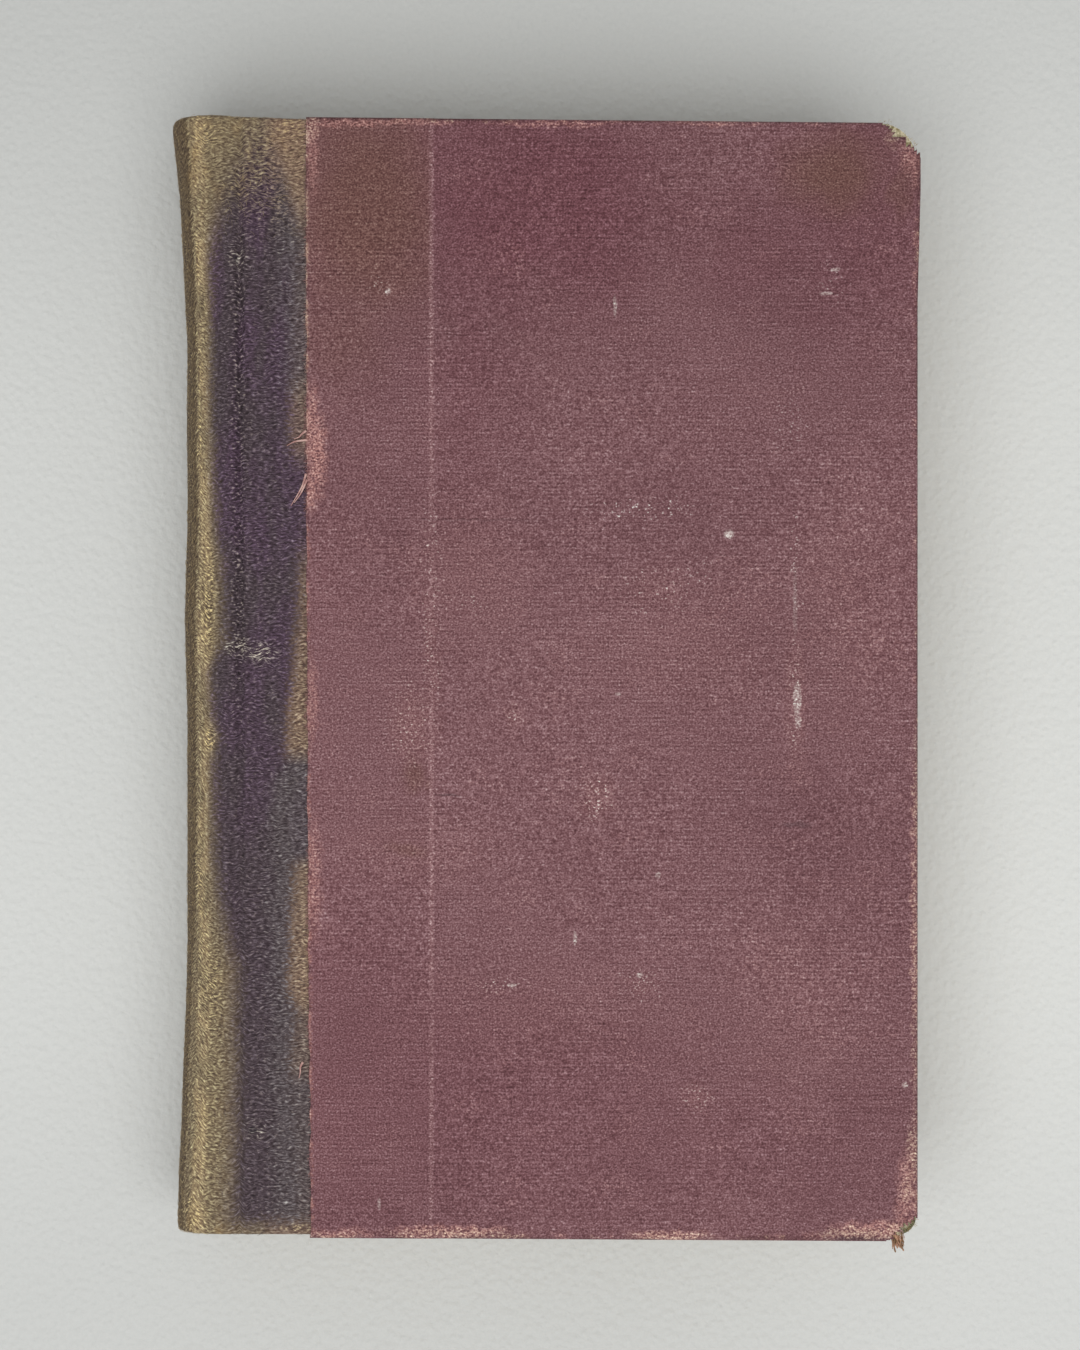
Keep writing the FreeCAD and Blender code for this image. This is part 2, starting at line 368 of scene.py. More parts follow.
# %% Threads and colours of the side cloth
weft_pitch = 0.86
warp_pitch = 0.62
weft_wander = 1.1
warp_wander = 0.8
seam_drift = 1.1
faded_maroon = shade(126, 87, 91)
deep_maroon = shade(107, 69, 74)
rosy_maroon = shade(107, 62, 70)
stain_brown = shade(109, 73, 66)
worn_pink = shade(172, 122, 116)
ridge_pink = shade(166, 126, 128)
worn_tan = shade(186, 150, 128)
fray_cream = shade(196, 160, 142)
chalk_white = shade(196, 176, 172)
# Painted shade for the rim where the cloth turns over the board's edges
rim_painted_shade = shade(84, 46, 50)
scratch_dark = shade(80, 56, 60)

# %% Places of the wear on the front cover
# Each mark has its middle column and row, half its width and height, all in pixels of
# the photograph, and how strong it is.
rosy_areas = [
    (540, 200, 130, 100, 0.85), (470, 360, 40, 120, 0.4), (470, 1090, 200, 90, 0.35),
    (760, 250, 60, 60, 0.4), (370, 1060, 60, 150, 0.3), (860, 215, 90, 110, 0.5),
    (560, 1140, 260, 70, 0.25),
]
brown_areas = [
    (365, 205, 66, 105, 0.85), (835, 175, 44, 36, 0.85), (414, 774, 13, 12, 0.6),
    (345, 330, 40, 60, 0.4), (437, 784, 11, 7, 0.45), (402, 845, 19, 8, 0.5),
    (905, 185, 10, 30, 0.5),
]
chalk_dots = [
    (729, 534, 4, 4, 0.9), (388, 292, 2.5, 2.5, 0.8), (835, 270, 5, 1.6, 0.6), (826, 294, 6, 1.4, 0.5),
    (575, 938, 1.5, 6, 0.6), (512, 985, 4, 2, 0.7), (658, 875, 2.5, 3, 0.5), (905, 1085, 2.5, 2.5, 0.7),
    (618, 694, 3, 1.5, 0.5), (797, 700, 3.5, 15, 0.6), (798, 722, 2.5, 6, 0.5), (379, 1203, 1.6, 5, 0.45),
    (615, 306, 1.6, 9, 0.5), (795, 600, 2, 30, 0.2), (640, 975, 3, 2, 0.5),
]
chalk_dust = [
    (640, 510, 44, 9, 0.8), (676, 505, 12, 12, 0.6), (796, 560, 4, 50, 0.6), (795, 705, 5, 40, 0.9),
    (796, 640, 3, 50, 0.4),
    (597, 797, 15, 20, 0.8), (412, 725, 20, 34, 0.45), (658, 592, 30, 22, 0.5), (700, 575, 14, 14, 0.5),
    (500, 986, 20, 7, 0.6), (640, 985, 18, 12, 0.6), (697, 1098, 14, 12, 0.6), (515, 718, 6, 10, 0.6),
    (432, 620, 8, 100, 0.5), (470, 605, 16, 10, 0.5), (790, 420, 14, 30, 0.3), (383, 285, 10, 10, 0.4),
    (828, 282, 18, 18, 0.3),
]
pale_areas = [
    (597, 797, 15, 20, 0.5), (412, 725, 18, 34, 0.5), (796, 700, 9, 60, 0.45), (470, 570, 50, 60, 0.25),
    (850, 600, 50, 90, 0.25), (690, 640, 80, 50, 0.2), (540, 1010, 110, 40, 0.2), (432, 640, 7, 110, 0.35),
    (697, 1098, 14, 12, 0.4), (640, 985, 18, 12, 0.3), (660, 590, 30, 20, 0.3), (420, 850, 60, 30, 0.2),
    (800, 1000, 60, 80, 0.2), (515, 718, 8, 12, 0.35),
]
pink_areas = [
    (318, 455, 9, 34, 1.0), (312, 424, 6, 34, 0.9), (311, 490, 7, 18, 0.9), (311, 700, 6, 40, 0.5),
    (314, 880, 7, 50, 0.6),
    (313, 150, 5, 40, 0.5), (910, 156, 10, 18, 0.5), (907, 1185, 9, 30, 0.6),
    (880, 1228, 40, 6, 0.85), (670, 1235, 34, 4, 0.7), (450, 1230, 52, 5, 0.8),
    (340, 1233, 30, 4, 0.6), (365, 123, 66, 3.2, 0.7), (560, 124, 60, 2.6, 0.6), (710, 124, 40, 2.2, 0.4),
    (905, 1215, 10, 22, 0.6), (914, 900, 3, 90, 0.4),
]
dark_marks = [
    (797, 825, 14, 3, 0.45), (448, 795, 10, 1.2, 0.6), (858, 1240, 34, 2, 0.6), (480, 520, 60, 1.2, 0.25),
]
tan_areas = [
    (913, 1160, 5, 34, 0.7), (915, 960, 3, 120, 0.5), (916, 800, 3, 60, 0.5), (908, 1190, 6, 14, 0.5),
    (860, 1234, 36, 5, 0.85), (670, 1237, 32, 4, 0.7), (450, 1234, 50, 5, 0.7), (896, 1230, 10, 8, 0.7),
    (893, 136, 6, 9, 0.5), (312, 128, 5, 12, 0.6), (335, 1236, 24, 3, 0.5),
]


def marks(finish, colour, places, tint, soft=0.5, wander=0.5, grain=2.5, only=None):
    """Lays the listed marks over a colour. Noise bends their outlines."""
    bent = finish.bent(grain, wander)
    covered = None
    for pixel_x, pixel_y, half_wide, half_tall, strength in places:
        half_size = (half_wide * pixel_mm, half_tall * pixel_mm)
        cover = finish.patch(bent, on_cover(pixel_x, pixel_y), half_size, soft, strength)
        covered = covered.most(cover) if covered else cover
    return finish.mix(covered * only if only else covered, colour, tint)


# %% The weave and the colour of the side cloth


def make_side_cloth_finish(name, with_marks):
    """Maroon cloth. The front cover also has its own stains and scuffs."""
    f = Finish(name)
    weft_shift = (f.noise(7.0, 2.0, (3, 1, 1)) - 0.5) * weft_wander
    lined = f.noise(24.0, 1.0, shift=6.0).over(0.38, 0.62)
    weft = (f.y + weft_shift).wave(weft_pitch)
    warp_shift = (f.noise(4.0, 0.0, (1, 3, 1)) - 0.5) * warp_wander
    warp = (f.x + warp_shift).wave(warp_pitch)
    grain = f.noise(0.44, 1.5, (1.3, 1, 1), shift=3.0, rough=0.6)
    fine = f.noise(0.34, 0.0, shift=8.0)
    slub = f.noise(0.38, 2.0, (18, 1, 1), shift=7.0)
    thread = weft * 0.7 + warp * 0.3
    height = thread * 0.4 + grain * 1.3 + slub * 0.35 + fine * 0.4

    cloud = f.noise(44.0, 4.0, shift=2.0, rough=0.6)
    colour = f.mix(cloud.over(0.05, 0.85), deep_maroon, faded_maroon)
    # Wear has paled the middle of the cover more than its head and tail.
    middle = f.y.under(20.0, 100.0) * f.y.over(-90.0, -10.0)
    pale = middle * 0.8 * f.noise(60.0, 2.0, shift=5.0).over(0.2, 0.6)
    colour = f.mix(pale, colour, faded_maroon)
    tops = grain.over(0.5, 0.68)
    if with_marks:
        colour = marks(f, colour, rosy_areas, rosy_maroon, 0.7, 6.0, 11.0)
        # The brown stain beside the spine stops at the ridge.
        stained = f.x.under(strip_high[0] - 0.4, strip_high[0] + 0.6).most(f.x.over(60.0, 80.0))
        colour = marks(f, colour, brown_areas, stain_brown, 0.7, 3.0, 11.0, stained)
        colour = marks(f, colour, pale_areas, worn_pink, 0.9, 1.6, 2.2, tops * 0.45 + 0.2)
        # The hidden edge of the spine cloth has rubbed a pale line.
        line = f.x.away_from(strip_high[0] + 0.1).under(0.1, 0.8)
        line = line * f.noise(7.0, 2.0, (0.5, 3, 1)).over(0.22, 0.56) * (0.34 + tops * 0.4)
        colour = f.mix(line, colour, ridge_pink)
    rubbed = f.noise(8.0, 3.0, (1.6, 1, 1), shift=9.0, rough=0.6).over(0.5, 0.72)
    colour = f.mix(rubbed * tops * 0.16, colour, worn_pink)
    from_edge = f.edge_distance()
    edge_wear = from_edge.under(0.4, 1.8) * f.noise(5.0, 3.0, shift=1.5, rough=0.6).over(0.48, 0.66)
    colour = f.mix(edge_wear * (0.2 + tops * 0.7), colour, worn_pink)
    bare = from_edge.under(0.0, 1.1) * f.noise(3.0, 2.0, shift=4.5).over(0.56, 0.7)
    colour = f.mix(bare * (0.2 + tops * 0.7), colour, worn_tan)
    # Painted shade: a dark rim along the free edges, where the cloth turns over the board
    rim = from_edge.under(0.1, 0.7) * f.noise(7.0, 1.0, shift=11.0).over(0.35, 0.6)
    colour = f.mix(rim * 0.6, colour, rim_painted_shade)
    if with_marks:
        colour = marks(f, colour, pink_areas, worn_pink, 0.6, 0.8, 2.2, grain.over(0.3, 0.6))
        colour = marks(f, colour, tan_areas, fray_cream, 0.8, 0.8, 2.2, grain.over(0.34, 0.66) * 0.8)
        colour = marks(f, colour, chalk_dust, chalk_white, 0.8, 1.5, 2.2, grain.over(0.6, 0.72) * 0.85)
        colour = marks(f, colour, chalk_dots, chalk_white, 0.5, 0.2, 2.2)
        colour = marks(f, colour, dark_marks, scratch_dark, 0.6, 0.4, 2.2)
        # Bared thread ends along the cut edge beside the spine, paler at the head.
        share = (cloth_high[1] - f.y) / (cloth_high[1] - cloth_low[1])
        cut = f.x - share * share * seam_drift - (cloth_low[0] + 0.2)
        frayed = (cut + (grain - 0.5) * 2.2).under(0.1, 0.8)
        paler = f.mix(share.under(0.1, 0.4), worn_pink, fray_cream)
        colour = f.mix(frayed * f.noise(2.4, 3.0, shift=3.5).over(0.42, 0.6) * 0.85, colour, paler)
    # Tone runs in doublings: the threads, the grain of the yarn, and a few thick slubs.
    lit = (thread - 0.5) * (lined * 0.4 + 0.12) + (grain - 0.5) * 3.1 + (fine - 0.5) * 2.8
    lit = lit + (slub - 0.5) * (lined * 0.9 + 0.5)
    colour = f.toned(colour, lit, (0.8, 1.15, 1.1))
    return f.done(colour, 0.9, height, 0.8, 0.22)


front_cloth_finish = make_side_cloth_finish("maroon_book_cloth_front", True)
back_cloth_finish = make_side_cloth_finish("maroon_book_cloth_back", False)
print("side cloth nodes", len(front_cloth_finish.node_tree.nodes))

# %% [markdown]
# ## The napped spine cloth
# A twill brushed to a soft nap, once purple. Light has bleached it to tan all down
# the spine and along the shoulder, and rubbing has bared the twill at the outer
# edge. Purple is left in a band along the joint. The finish follows the cloth, so
# it reads a map whose U is the distance from the hinge line along the cloth, less
# than nothing on the spine. The map goes on round the spine, and the finish folds
# it at the middle, so that both halves wear alike.

# %% Where purple gives way to tan
nap_tan = shade(132, 115, 89)
nap_bright = shade(184, 160, 122)
nap_gold = shade(190, 162, 116)
nap_tips = shade(172, 157, 144)
nap_purple = shade(72, 59, 65)
nap_violet = shade(76, 57, 72)
nap_grey = shade(90, 81, 82)
# Brown of the faded spine side, with painted shade in it
nap_brown_and_shade = shade(104, 85, 60)
nap_seam = shade(136, 111, 91)
nap_ochre = shade(150, 120, 74)
pit_dark = shade(44, 36, 44)
# Places across the cloth, in millimetres of its map
crease_u = -0.3
bright_u = -9.9
fibre_turn_u = -12.0
dark_line_u = -13.8


def cloth_u(pixel_x):
    """Distance along the spine cloth from the hinge line to a column of the photograph."""
    x = (pixel_x - hinge_pixel_x) * pixel_mm
    return x if x > 0 else 1.05 * x - 0.033 * x * x


# Photograph rows, and the column where the purple starts on the spine
purple_starts = [
    (117, 246), (150, 232), (185, 224), (215, 219), (260, 211), (330, 212), (430, 212), (530, 215),
    (560, 220), (640, 223), (655, 218), (672, 210), (712, 212), (737, 218), (765, 213), (860, 215),
    (900, 218), (935, 225), (970, 234), (1050, 232), (1150, 232), (1238, 228),
]
# The column where the purple ends beside the seam, and how fully it ends there
purple_ends = [
    (117, 276), (150, 280), (185, 290), (240, 300), (380, 292), (440, 290), (500, 300), (578, 299),
    (620, 298), (660, 294), (712, 288), (750, 286), (868, 296), (930, 291), (985, 289), (1010, 298),
    (1060, 290), (1238, 300),
]
fade_strength = [
    (117, 1.0), (200, 0.8), (245, 0.15), (370, 0.1), (400, 0.5), (445, 0.5), (475, 0.0), (540, 0.1),
    (578, 0.65), (745, 0.85), (765, 0.0), (855, 0.0), (870, 0.75), (1000, 0.85), (1020, 0.35),
    (1065, 0.35), (1085, 0.05), (1238, 0.1),
]
# The column where purple turns grey, and how many millimetres its spine edge takes
grey_starts = [
    (117, 260), (200, 274), (390, 284), (420, 320), (560, 320), (740, 300), (780, 272), (900, 268),
    (1238, 272),
]
edge_softness = [(117, 4.0), (300, 2.6), (800, 2.8), (930, 3.8), (1238, 3.8)]
# Marks as on the front cover
golden_areas = [
    (208, 130, 16, 14, 0.7), (290, 128, 14, 10, 0.4), (201, 256, 4, 14, 0.7), (201, 372, 4, 26, 0.7),
    (200, 440, 4, 30, 0.8), (209, 600, 9, 50, 0.8),
    (211, 740, 8, 12, 0.85), (200, 900, 5, 60, 0.5), (212, 990, 14, 24, 0.4), (200, 1218, 14, 12, 0.8),
    (206, 300, 4, 40, 0.4), (297, 1228, 14, 3, 0.5),
]
pits = [(236, 258, 4, 4, 0.6), (254, 1130, 4, 4, 0.7)]
pale_rubs = [
    (238, 646, 12, 6, 0.8), (262, 653, 13, 9, 0.8), (236, 258, 8, 8, 0.5), (254, 1130, 8, 8, 0.5),
]


def along_spine(finish, pairs, convert=float):
    """A value that changes down the spine, from (photograph row, value) pairs."""
    values = [convert(value) for _, value in pairs]
    low, high = min(values), max(values)
    top, bottom = on_cover(0, pairs[0][0])[1], on_cover(0, pairs[-1][0])[1]
    stops = []
    for (row, _), value in zip(pairs, values):
        level = (value - low) / (high - low)
        stops.append(((top - on_cover(0, row)[1]) / (top - bottom), (level, level, level)))
    factor = (top - finish.y) / (top - bottom)
    ramp = finish.start.make("ShaderNodeValToRGB", {"stops": stops}, {0: factor})
    return ramp * (high - low) + low


def on_spine(places):
    """Marks given in the photograph, with their column as a distance along the cloth."""
    return [(hinge_pixel_x + cloth_u(place[0]) / pixel_mm, *place[1:]) for place in places]


def make_nap_finish():
    """Purple to tan napped twill, read along the cloth."""
    f = Finish("napped_spine_cloth", "cloth")
    round_spine = f.x
    f.x = round_spine.away_from(middle_u) + middle_u
    blotch = (f.noise(7.0, 3.0, (1, 1.6, 1), rough=0.6) - 0.5) * 7.0
    # The fibres lie across the spine in short dashes, and slant as they round the shoulder.
    twist = (f.noise(3.2, 1.0, shift=5.0) - 0.5) * 2.2
    from_turn = f.x.away_from(fibre_turn_u)
    slant = from_turn.math("MINIMUM", from_turn, 4.0) * 0.6
    fibre = f.fibres(round_spine * 0.75 + twist * 0.3, (f.y + slant + twist) * 2.7)
    hair = fibre - 0.5
    fluff = f.noise(0.5, 1.0, (1.5, 1, 1), shift=14.0)
    starts = along_spine(f, purple_starts, cloth_u)
    ends_at = along_spine(f, purple_ends, cloth_u)
    soft = along_spine(f, edge_softness)
    fade = along_spine(f, fade_strength)
    rise = (f.x - starts + blotch * 0.5 + hair * 11.0) / soft
    fall = (ends_at - f.x + blotch * 0.3 + hair * 11.0) / 1.3
    head = (f.y + blotch * 2.4 + hair * 60.0).over(98.0, 122.0)
    tail = (f.y + blotch * 0.4 + hair * 12.0).under(-120.0, -114.5)
    seam_faded = 1 - fall.over(-1.0, 1.0)
    purple = rise.over(-1.0, 1.0) * (1 - seam_faded * fade) * (1 - head * 0.85) * (1 - tail * 0.7)

    violet = f.noise(13.0, 2.0, (0.6, 2, 1), shift=6.0).over(0.4, 0.6) * f.y.over(-90.0, 20.0)
    dark = f.mix(violet, nap_purple, nap_violet)
    grey_start = along_spine(f, grey_starts, cloth_u)
    grey = (f.x - grey_start + blotch * 0.8 + hair * 8.0).over(-1.5, 3.0)
    dark = f.mix(grey * 0.6, dark, nap_grey)
    # Along the shoulder the tan is brightest. Down the side of the spine it is darker brown: faded cloth,
    # and painted shade where the spine turns away from the light.
    bright = (f.x + blotch * 0.12).away_from(bright_u).under(0.8, 3.2) * blotch.over(-1.2, 0.9)
    light = f.mix(bright * 0.75, nap_tan, nap_bright)
    light = f.mix(f.x.over(4.0, 8.0), light, nap_seam)
    # Painted shade and faded brown on the side of the spine, beyond the shoulder
    side_at = f.y.under(-75.0, -30.0) * -2.4
    spine_side = (f.x - side_at + blotch * 0.2 + hair * 3.0).under(-13.6, -12.0)
    light = f.mix(spine_side * 0.85, light, nap_brown_and_shade)
    ochre = blotch.over(0.0, 1.6)
    light = f.mix(ochre * (0.15 + head * 0.4 + tail * 0.5), light, nap_ochre)
    colour = f.mix(purple, light, dark)
    lit_tips = hair.over(0.0, 0.12)
    colour = marks(f, colour, on_spine(golden_areas), nap_gold, 0.9, 0.9, 2.2, lit_tips)
    colour = marks(f, colour, on_spine(pale_rubs), nap_tips, 0.8, 0.9, 2.2, lit_tips)
    colour = marks(f, colour, on_spine(pits), pit_dark, 0.5, 0.2, 2.2)

    hatch = (f.y - f.x * 0.8 + twist * 0.4).wave(0.56)
    hatched = spine_side * f.x.over(-24.0, -17.0) * (1 - purple)
    height = fibre * 1.6 + fluff * 0.5 + hatch * hatched * 0.4
    crease = (f.x + hair * 2.0).away_from(crease_u).under(0.4, 2.4)
    crease = crease * f.y.over(-20.0, 10.0) * f.y.under(86.0, 100.0)
    # A thin darker line along the edge of the spine's top
    line = f.x.away_from(dark_line_u).under(0.1, 0.9) * blotch.over(-0.8, 0.5)
    # Tone runs in doublings, as the nap is speckled from dark hollows to pale tips. The crease of the joint
    # is a little darker: its darker dye, and painted shade in the groove.
    tone = hair * (9.4 - head * 3.0) + (fluff - 0.5) * (3.0 + crease * 5.0) - crease * 0.3
    tone = tone - (1 - hatch) * hatched * 0.6 - line * 0.3
    colour = f.toned(colour, tone, (0.92, 1.06, 1.02))
    # Pale tips of fibres catch the light where the cloth is creased or rubbed.
    tips = (fluff + hair * 0.5).over(0.60, 0.74)
    colour = f.mix(tips * (0.22 + crease * 0.5), colour, nap_tips)
    return f.done(colour, 0.95, height, 0.7, 0.36)


# %% [markdown]
# ## Paper, board and the small finishes
# The pages have gone cream, and each leaf shows as a fine line at their edges,
# darkest at the dusty head. The board is grey-brown, the corner tips are cream and
# olive, and the headbands are wound with red and cream thread.

# %% Colours and finishes of paper, board and thread
leaf_cream = shade(218, 202, 166)
leaf_brown = shade(166, 144, 108)
gap_brown = shade(132, 108, 76)
dust_grey = shade(112, 98, 78)
foxed_brown = shade(140, 104, 66)
spot_brown = shade(150, 112, 70)
tip_cream = shade(204, 194, 164)
tip_olive = shade(132, 122, 82)
tip_dye = shade(70, 74, 44)


def make_page_finish():
    """Cut edges of leaves: fine lines, dust on the top edge and foxing."""
    f = Finish("page_edges")
    leaf = f.noise(0.16, 2.0, (60, 60, 1), rough=0.7)
    group = f.noise(0.9, 2.0, (40, 40, 1), shift=4.0)
    colour = f.mix(leaf.over(0.35, 0.65), leaf_brown, leaf_cream)
    colour = f.mix(group.over(0.5, 0.75) * 0.5, colour, gap_brown)
    dust = f.y.over(pages_high[1] - 1.0, pages_high[1])
    colour = f.mix(dust * 0.5, colour, dust_grey)
    spots = f.noise(2.4, 4.0, shift=8.0).over(0.62, 0.78)
    colour = f.mix(spots * 0.45, colour, foxed_brown)
    return f.done(colour, 0.9, leaf * 0.6 + group * 0.4, 0.5, 0.15)


def make_sheet_finish(name, base, dirt):
    """A flat sheet: soft mottling, fibres and brown spots."""
    f = Finish(name)
    cloud = f.noise(30.0, 4.0, shift=1.0)
    colour = f.mix(cloud.over(0.35, 0.7), base, dirt)
    fibre = f.noise(0.5, 3.0, (3, 1, 1), rough=0.7)
    colour = f.mix(f.noise(3.0, 4.0, shift=7.0).over(0.66, 0.8) * 0.5, colour, spot_brown)
    colour = f.lighten(colour, 0.88 + fibre * 0.24)
    return f.done(colour, 0.92, fibre, 0.4, 0.1)


def make_plain_weave_finish(name, base, gap_colour, pitch):
    """A small open weave, for the gauze, the cords and the bands."""
    f = Finish(name)
    across = f.y.wave(pitch)
    along = (f.x + f.z).wave(pitch)
    colour = f.mix(across * along, base, gap_colour)
    colour = f.lighten(colour, 0.8 + f.noise(0.4, 2.0) * 0.4)
    return f.done(colour, 0.9, across + along, 0.6, 0.15)


def make_tip_finish():
    """Stiff corner tips: cream fibres, with olive green where dye is left at the tail."""
    f = Finish("corner_vellum")
    mottle = f.noise(1.3, 4.0, shift=2.0, rough=0.6)
    colour = f.mix(mottle.over(0.46, 0.62), tip_cream, tip_olive)
    tail = f.y.under(-60.0, 60.0)
    colour = f.mix(tail * mottle.over(0.3, 0.5) * 0.85, colour, tip_dye)
    fibre = f.noise(0.3, 3.0, (1, 4, 2), rough=0.7)
    colour = f.lighten(colour, 0.7 + fibre * 0.6)
    return f.done(colour, 0.8, fibre, 0.7, 0.2)


page_finish = make_page_finish()
endpaper_finish = make_sheet_finish("endpaper", shade(205, 190, 156), shade(195, 177, 141))
lining_finish = make_sheet_finish("lining_paper", shade(134, 112, 82), shade(110, 90, 62))
board_finish = make_sheet_finish("millboard", shade(140, 126, 102), shade(116, 102, 80))
gauze_finish = make_plain_weave_finish("mull_gauze", shade(196, 184, 150), shade(120, 100, 70), 0.9)
cord_finish = make_plain_weave_finish("linen_cord", shade(176, 154, 112), shade(110, 88, 58), 0.5)
band_red = make_plain_weave_finish("headband_red", shade(126, 50, 44), shade(84, 32, 30), 0.35)
band_cream = make_plain_weave_finish("headband_cream", shade(196, 178, 138), shade(140, 118, 82), 0.35)
tip_finish = make_tip_finish()
print("small finishes made")

# %% [markdown]
# ## From a grid of points to a mesh
# Cloth is a sheet, so it is easiest to think of as a grid of points: rows along
# the book and columns across it. This helper turns such a grid into faces, adds
# the cloth map where it is asked for, and gives the sheet its thickness.

# %% Mesh helpers


def link_mesh(name, mesh, finish):
    """A new object in the scene, smooth, with one finish."""
    obj = bpy.data.objects.new(name, mesh)
    bpy.context.scene.collection.objects.link(obj)
    mesh.materials.append(finish)
    mesh.polygons.foreach_set("use_smooth", [True] * len(mesh.polygons))
    return obj


def grid_mesh(name, points, finish, flip=False, uv=None):
    """A sheet from an array of rows, columns and places in local millimetres."""
    rows, columns = points.shape[:2]
    world = (points + np.array((hinge_x, 0.0, middle_z))) * MM
    index = np.arange(rows * columns).reshape(rows, columns)
    quads = np.stack(
        (index[:-1, :-1], index[:-1, 1:], index[1:, 1:], index[1:, :-1]), axis=-1
    ).reshape(-1, 4)
    if flip:
        quads = quads[:, ::-1]
    mesh = bpy.data.meshes.new(name)
    mesh.from_pydata(world.reshape(-1, 3).tolist(), [], quads.tolist())
    if uv is not None:
        layer = mesh.uv_layers.new(name="cloth")
        flat = (uv.reshape(-1, 2) * MM)[quads.reshape(-1)]
        layer.data.foreach_set("uv", flat.astype(np.float32).reshape(-1))
    return link_mesh(name, mesh, finish)


def apply_modifiers(obj):
    """Turns what the modifiers make into the piece's own plain mesh."""
    graph = bpy.context.evaluated_depsgraph_get()
    graph.update()
    mesh = bpy.data.meshes.new_from_object(obj.evaluated_get(graph))
    old = obj.data
    obj.modifiers.clear()
    obj.data = mesh
    bpy.data.meshes.remove(old)
    return obj


def thicken(obj, thickness, outward=False):
    """Gives a sheet its thickness, under its visible side or over it."""
    solid = obj.modifiers.new("thickness", "SOLIDIFY")
    solid.thickness = thickness * MM
    solid.offset = 1.0 if outward else -1.0
    return apply_modifiers(obj)


def count_triangles(obj):
    """How many triangles a piece has."""
    obj.data.calc_loop_triangles()
    return len(obj.data.loop_triangles)


class Ripple:
    """Smooth random bumps over a sheet: a sum of sines with a fixed seed."""

    def __init__(self, seed, waves, shortest, longest):
        rng = np.random.default_rng(seed)
        lengths = rng.uniform(shortest, longest, waves)
        turns = rng.uniform(0, 2 * math.pi, waves)
        self.kx = 2 * math.pi / lengths * np.cos(turns)
        self.ky = 2 * math.pi / lengths * np.sin(turns)
        self.phase = rng.uniform(0, 2 * math.pi, waves)

    def at(self, x, y):
        """Between about -1 and 1."""
        x, y = np.broadcast_arrays(x, y)
        angle = x[..., None] * self.kx + y[..., None] * self.ky + self.phase
        return np.sin(angle).sum(-1) / math.sqrt(len(self.kx))


# %% [markdown]
# ## The spine cloth
# One cloth runs from board to board, and on the book it turns with both covers. It is
# modelled in two halves that meet along the middle of the spine: each half lies on one
# board, dips into the joint, climbs the shoulder and rounds the back. At head and
# tail it folds over an edge and runs back inside, which makes the caps. The
# outline swells at head and tail, as the imported solid does.

# %% Outline across the spine
crest_x = -1.2
crest_z = spine_high[2] - 0.02
apex_x = -13.5
joint_depth = 0.9
joint_middle = -0.15
joint_half = 1.45
cloth_on_board = cloth_low[0] + 4.0
fold_inside = 11.0
flat_columns = 14
dip_columns = 22
arc_columns = 44
smoothings = 4
# Distance from the head of the spine, and how far the outline swells there
swell_stations = [
    (0.0, 3.2), (6.0, 2.6), (15.0, 1.6), (30.0, 0.9), (46.0, 0.1), (88.0, 0.0), (107.0, 0.6),
    (130.0, 0.0), (178.0, 0.0), (200.0, 0.6), (216.0, 1.2), (229.0, 1.9), (239.6, 2.2),
]
back_half = crest_x - apex_x
spine_span = (spine_high[1] - spine_low[1]) / swell_stations[-1][0]
station_y = [spine_high[1] - distance * spine_span for distance, _ in swell_stations][::-1]
station_swell = [swell for _, swell in swell_stations][::-1]
flat_x = np.linspace(cloth_on_board, joint_middle + joint_half, flat_columns)[:-1]
dip_x = np.linspace(joint_middle + joint_half, crest_x, dip_columns)[:-1]
arc_share = np.linspace(0.0, 1.0, arc_columns)
on_arc = np.concatenate((np.zeros(len(flat_x) + len(dip_x)), arc_share))


def rounded(share):
    """Runs from 0 to 1 with a smooth start and end."""
    return share * share * (3 - 2 * share)


def sections(swells):
    """One row of places across the cloth for each swell: X and Z from board to mid-spine."""
    sagitta = back_half + swells[:, None]
    radius = (crest_z**2 + sagitta**2) / (2 * sagitta)
    centre = crest_x - sagitta + radius
    angle = np.arctan2(crest_z, centre - crest_x) * (1 - arc_share)
    ones = np.ones((len(swells), 1))
    x = np.concatenate((ones * flat_x, ones * dip_x, centre - radius * np.cos(angle)), axis=1)
    climb = np.clip((dip_x - crest_x) / (joint_middle - crest_x), 0, 1)
    shelf = crest_z + (turn_z - crest_z) * climb
    z = np.concatenate((ones * turn_z * np.ones(len(flat_x)), ones * shelf, radius * np.sin(angle)), axis=1)
    # The joint: a valley between the board's edge and the shoulder's crest.
    valley = np.clip(1 - np.abs(x - joint_middle) / joint_half, 0, 1)
    z = z - rounded(valley) * joint_depth
    for _ in range(smoothings):
        x[:, 1:-1] = (x[:, :-2] + 2 * x[:, 1:-1] + x[:, 2:]) / 4
        z[:, 1:-1] = (z[:, :-2] + 2 * z[:, 1:-1] + z[:, 2:]) / 4
    return x, z


def outward(x, z):
    """Normals of the rows of places, away from the pages."""
    step_x, step_z = np.gradient(x, axis=1), np.gradient(z, axis=1)
    size = np.hypot(step_x, step_z)
    return step_z / size, -step_x / size


plain_x, plain_z = (row[0] for row in sections(np.zeros(1)))
length = np.concatenate(([0.0], np.cumsum(np.hypot(np.diff(plain_x), np.diff(plain_z)))))
section_u = np.interp(0.0, -plain_x, length) - length
middle_u = float(section_u[-1])
nap_finish = make_nap_finish()
print("cloth from board to mid-spine", round(float(length[-1]), 1), "mm")

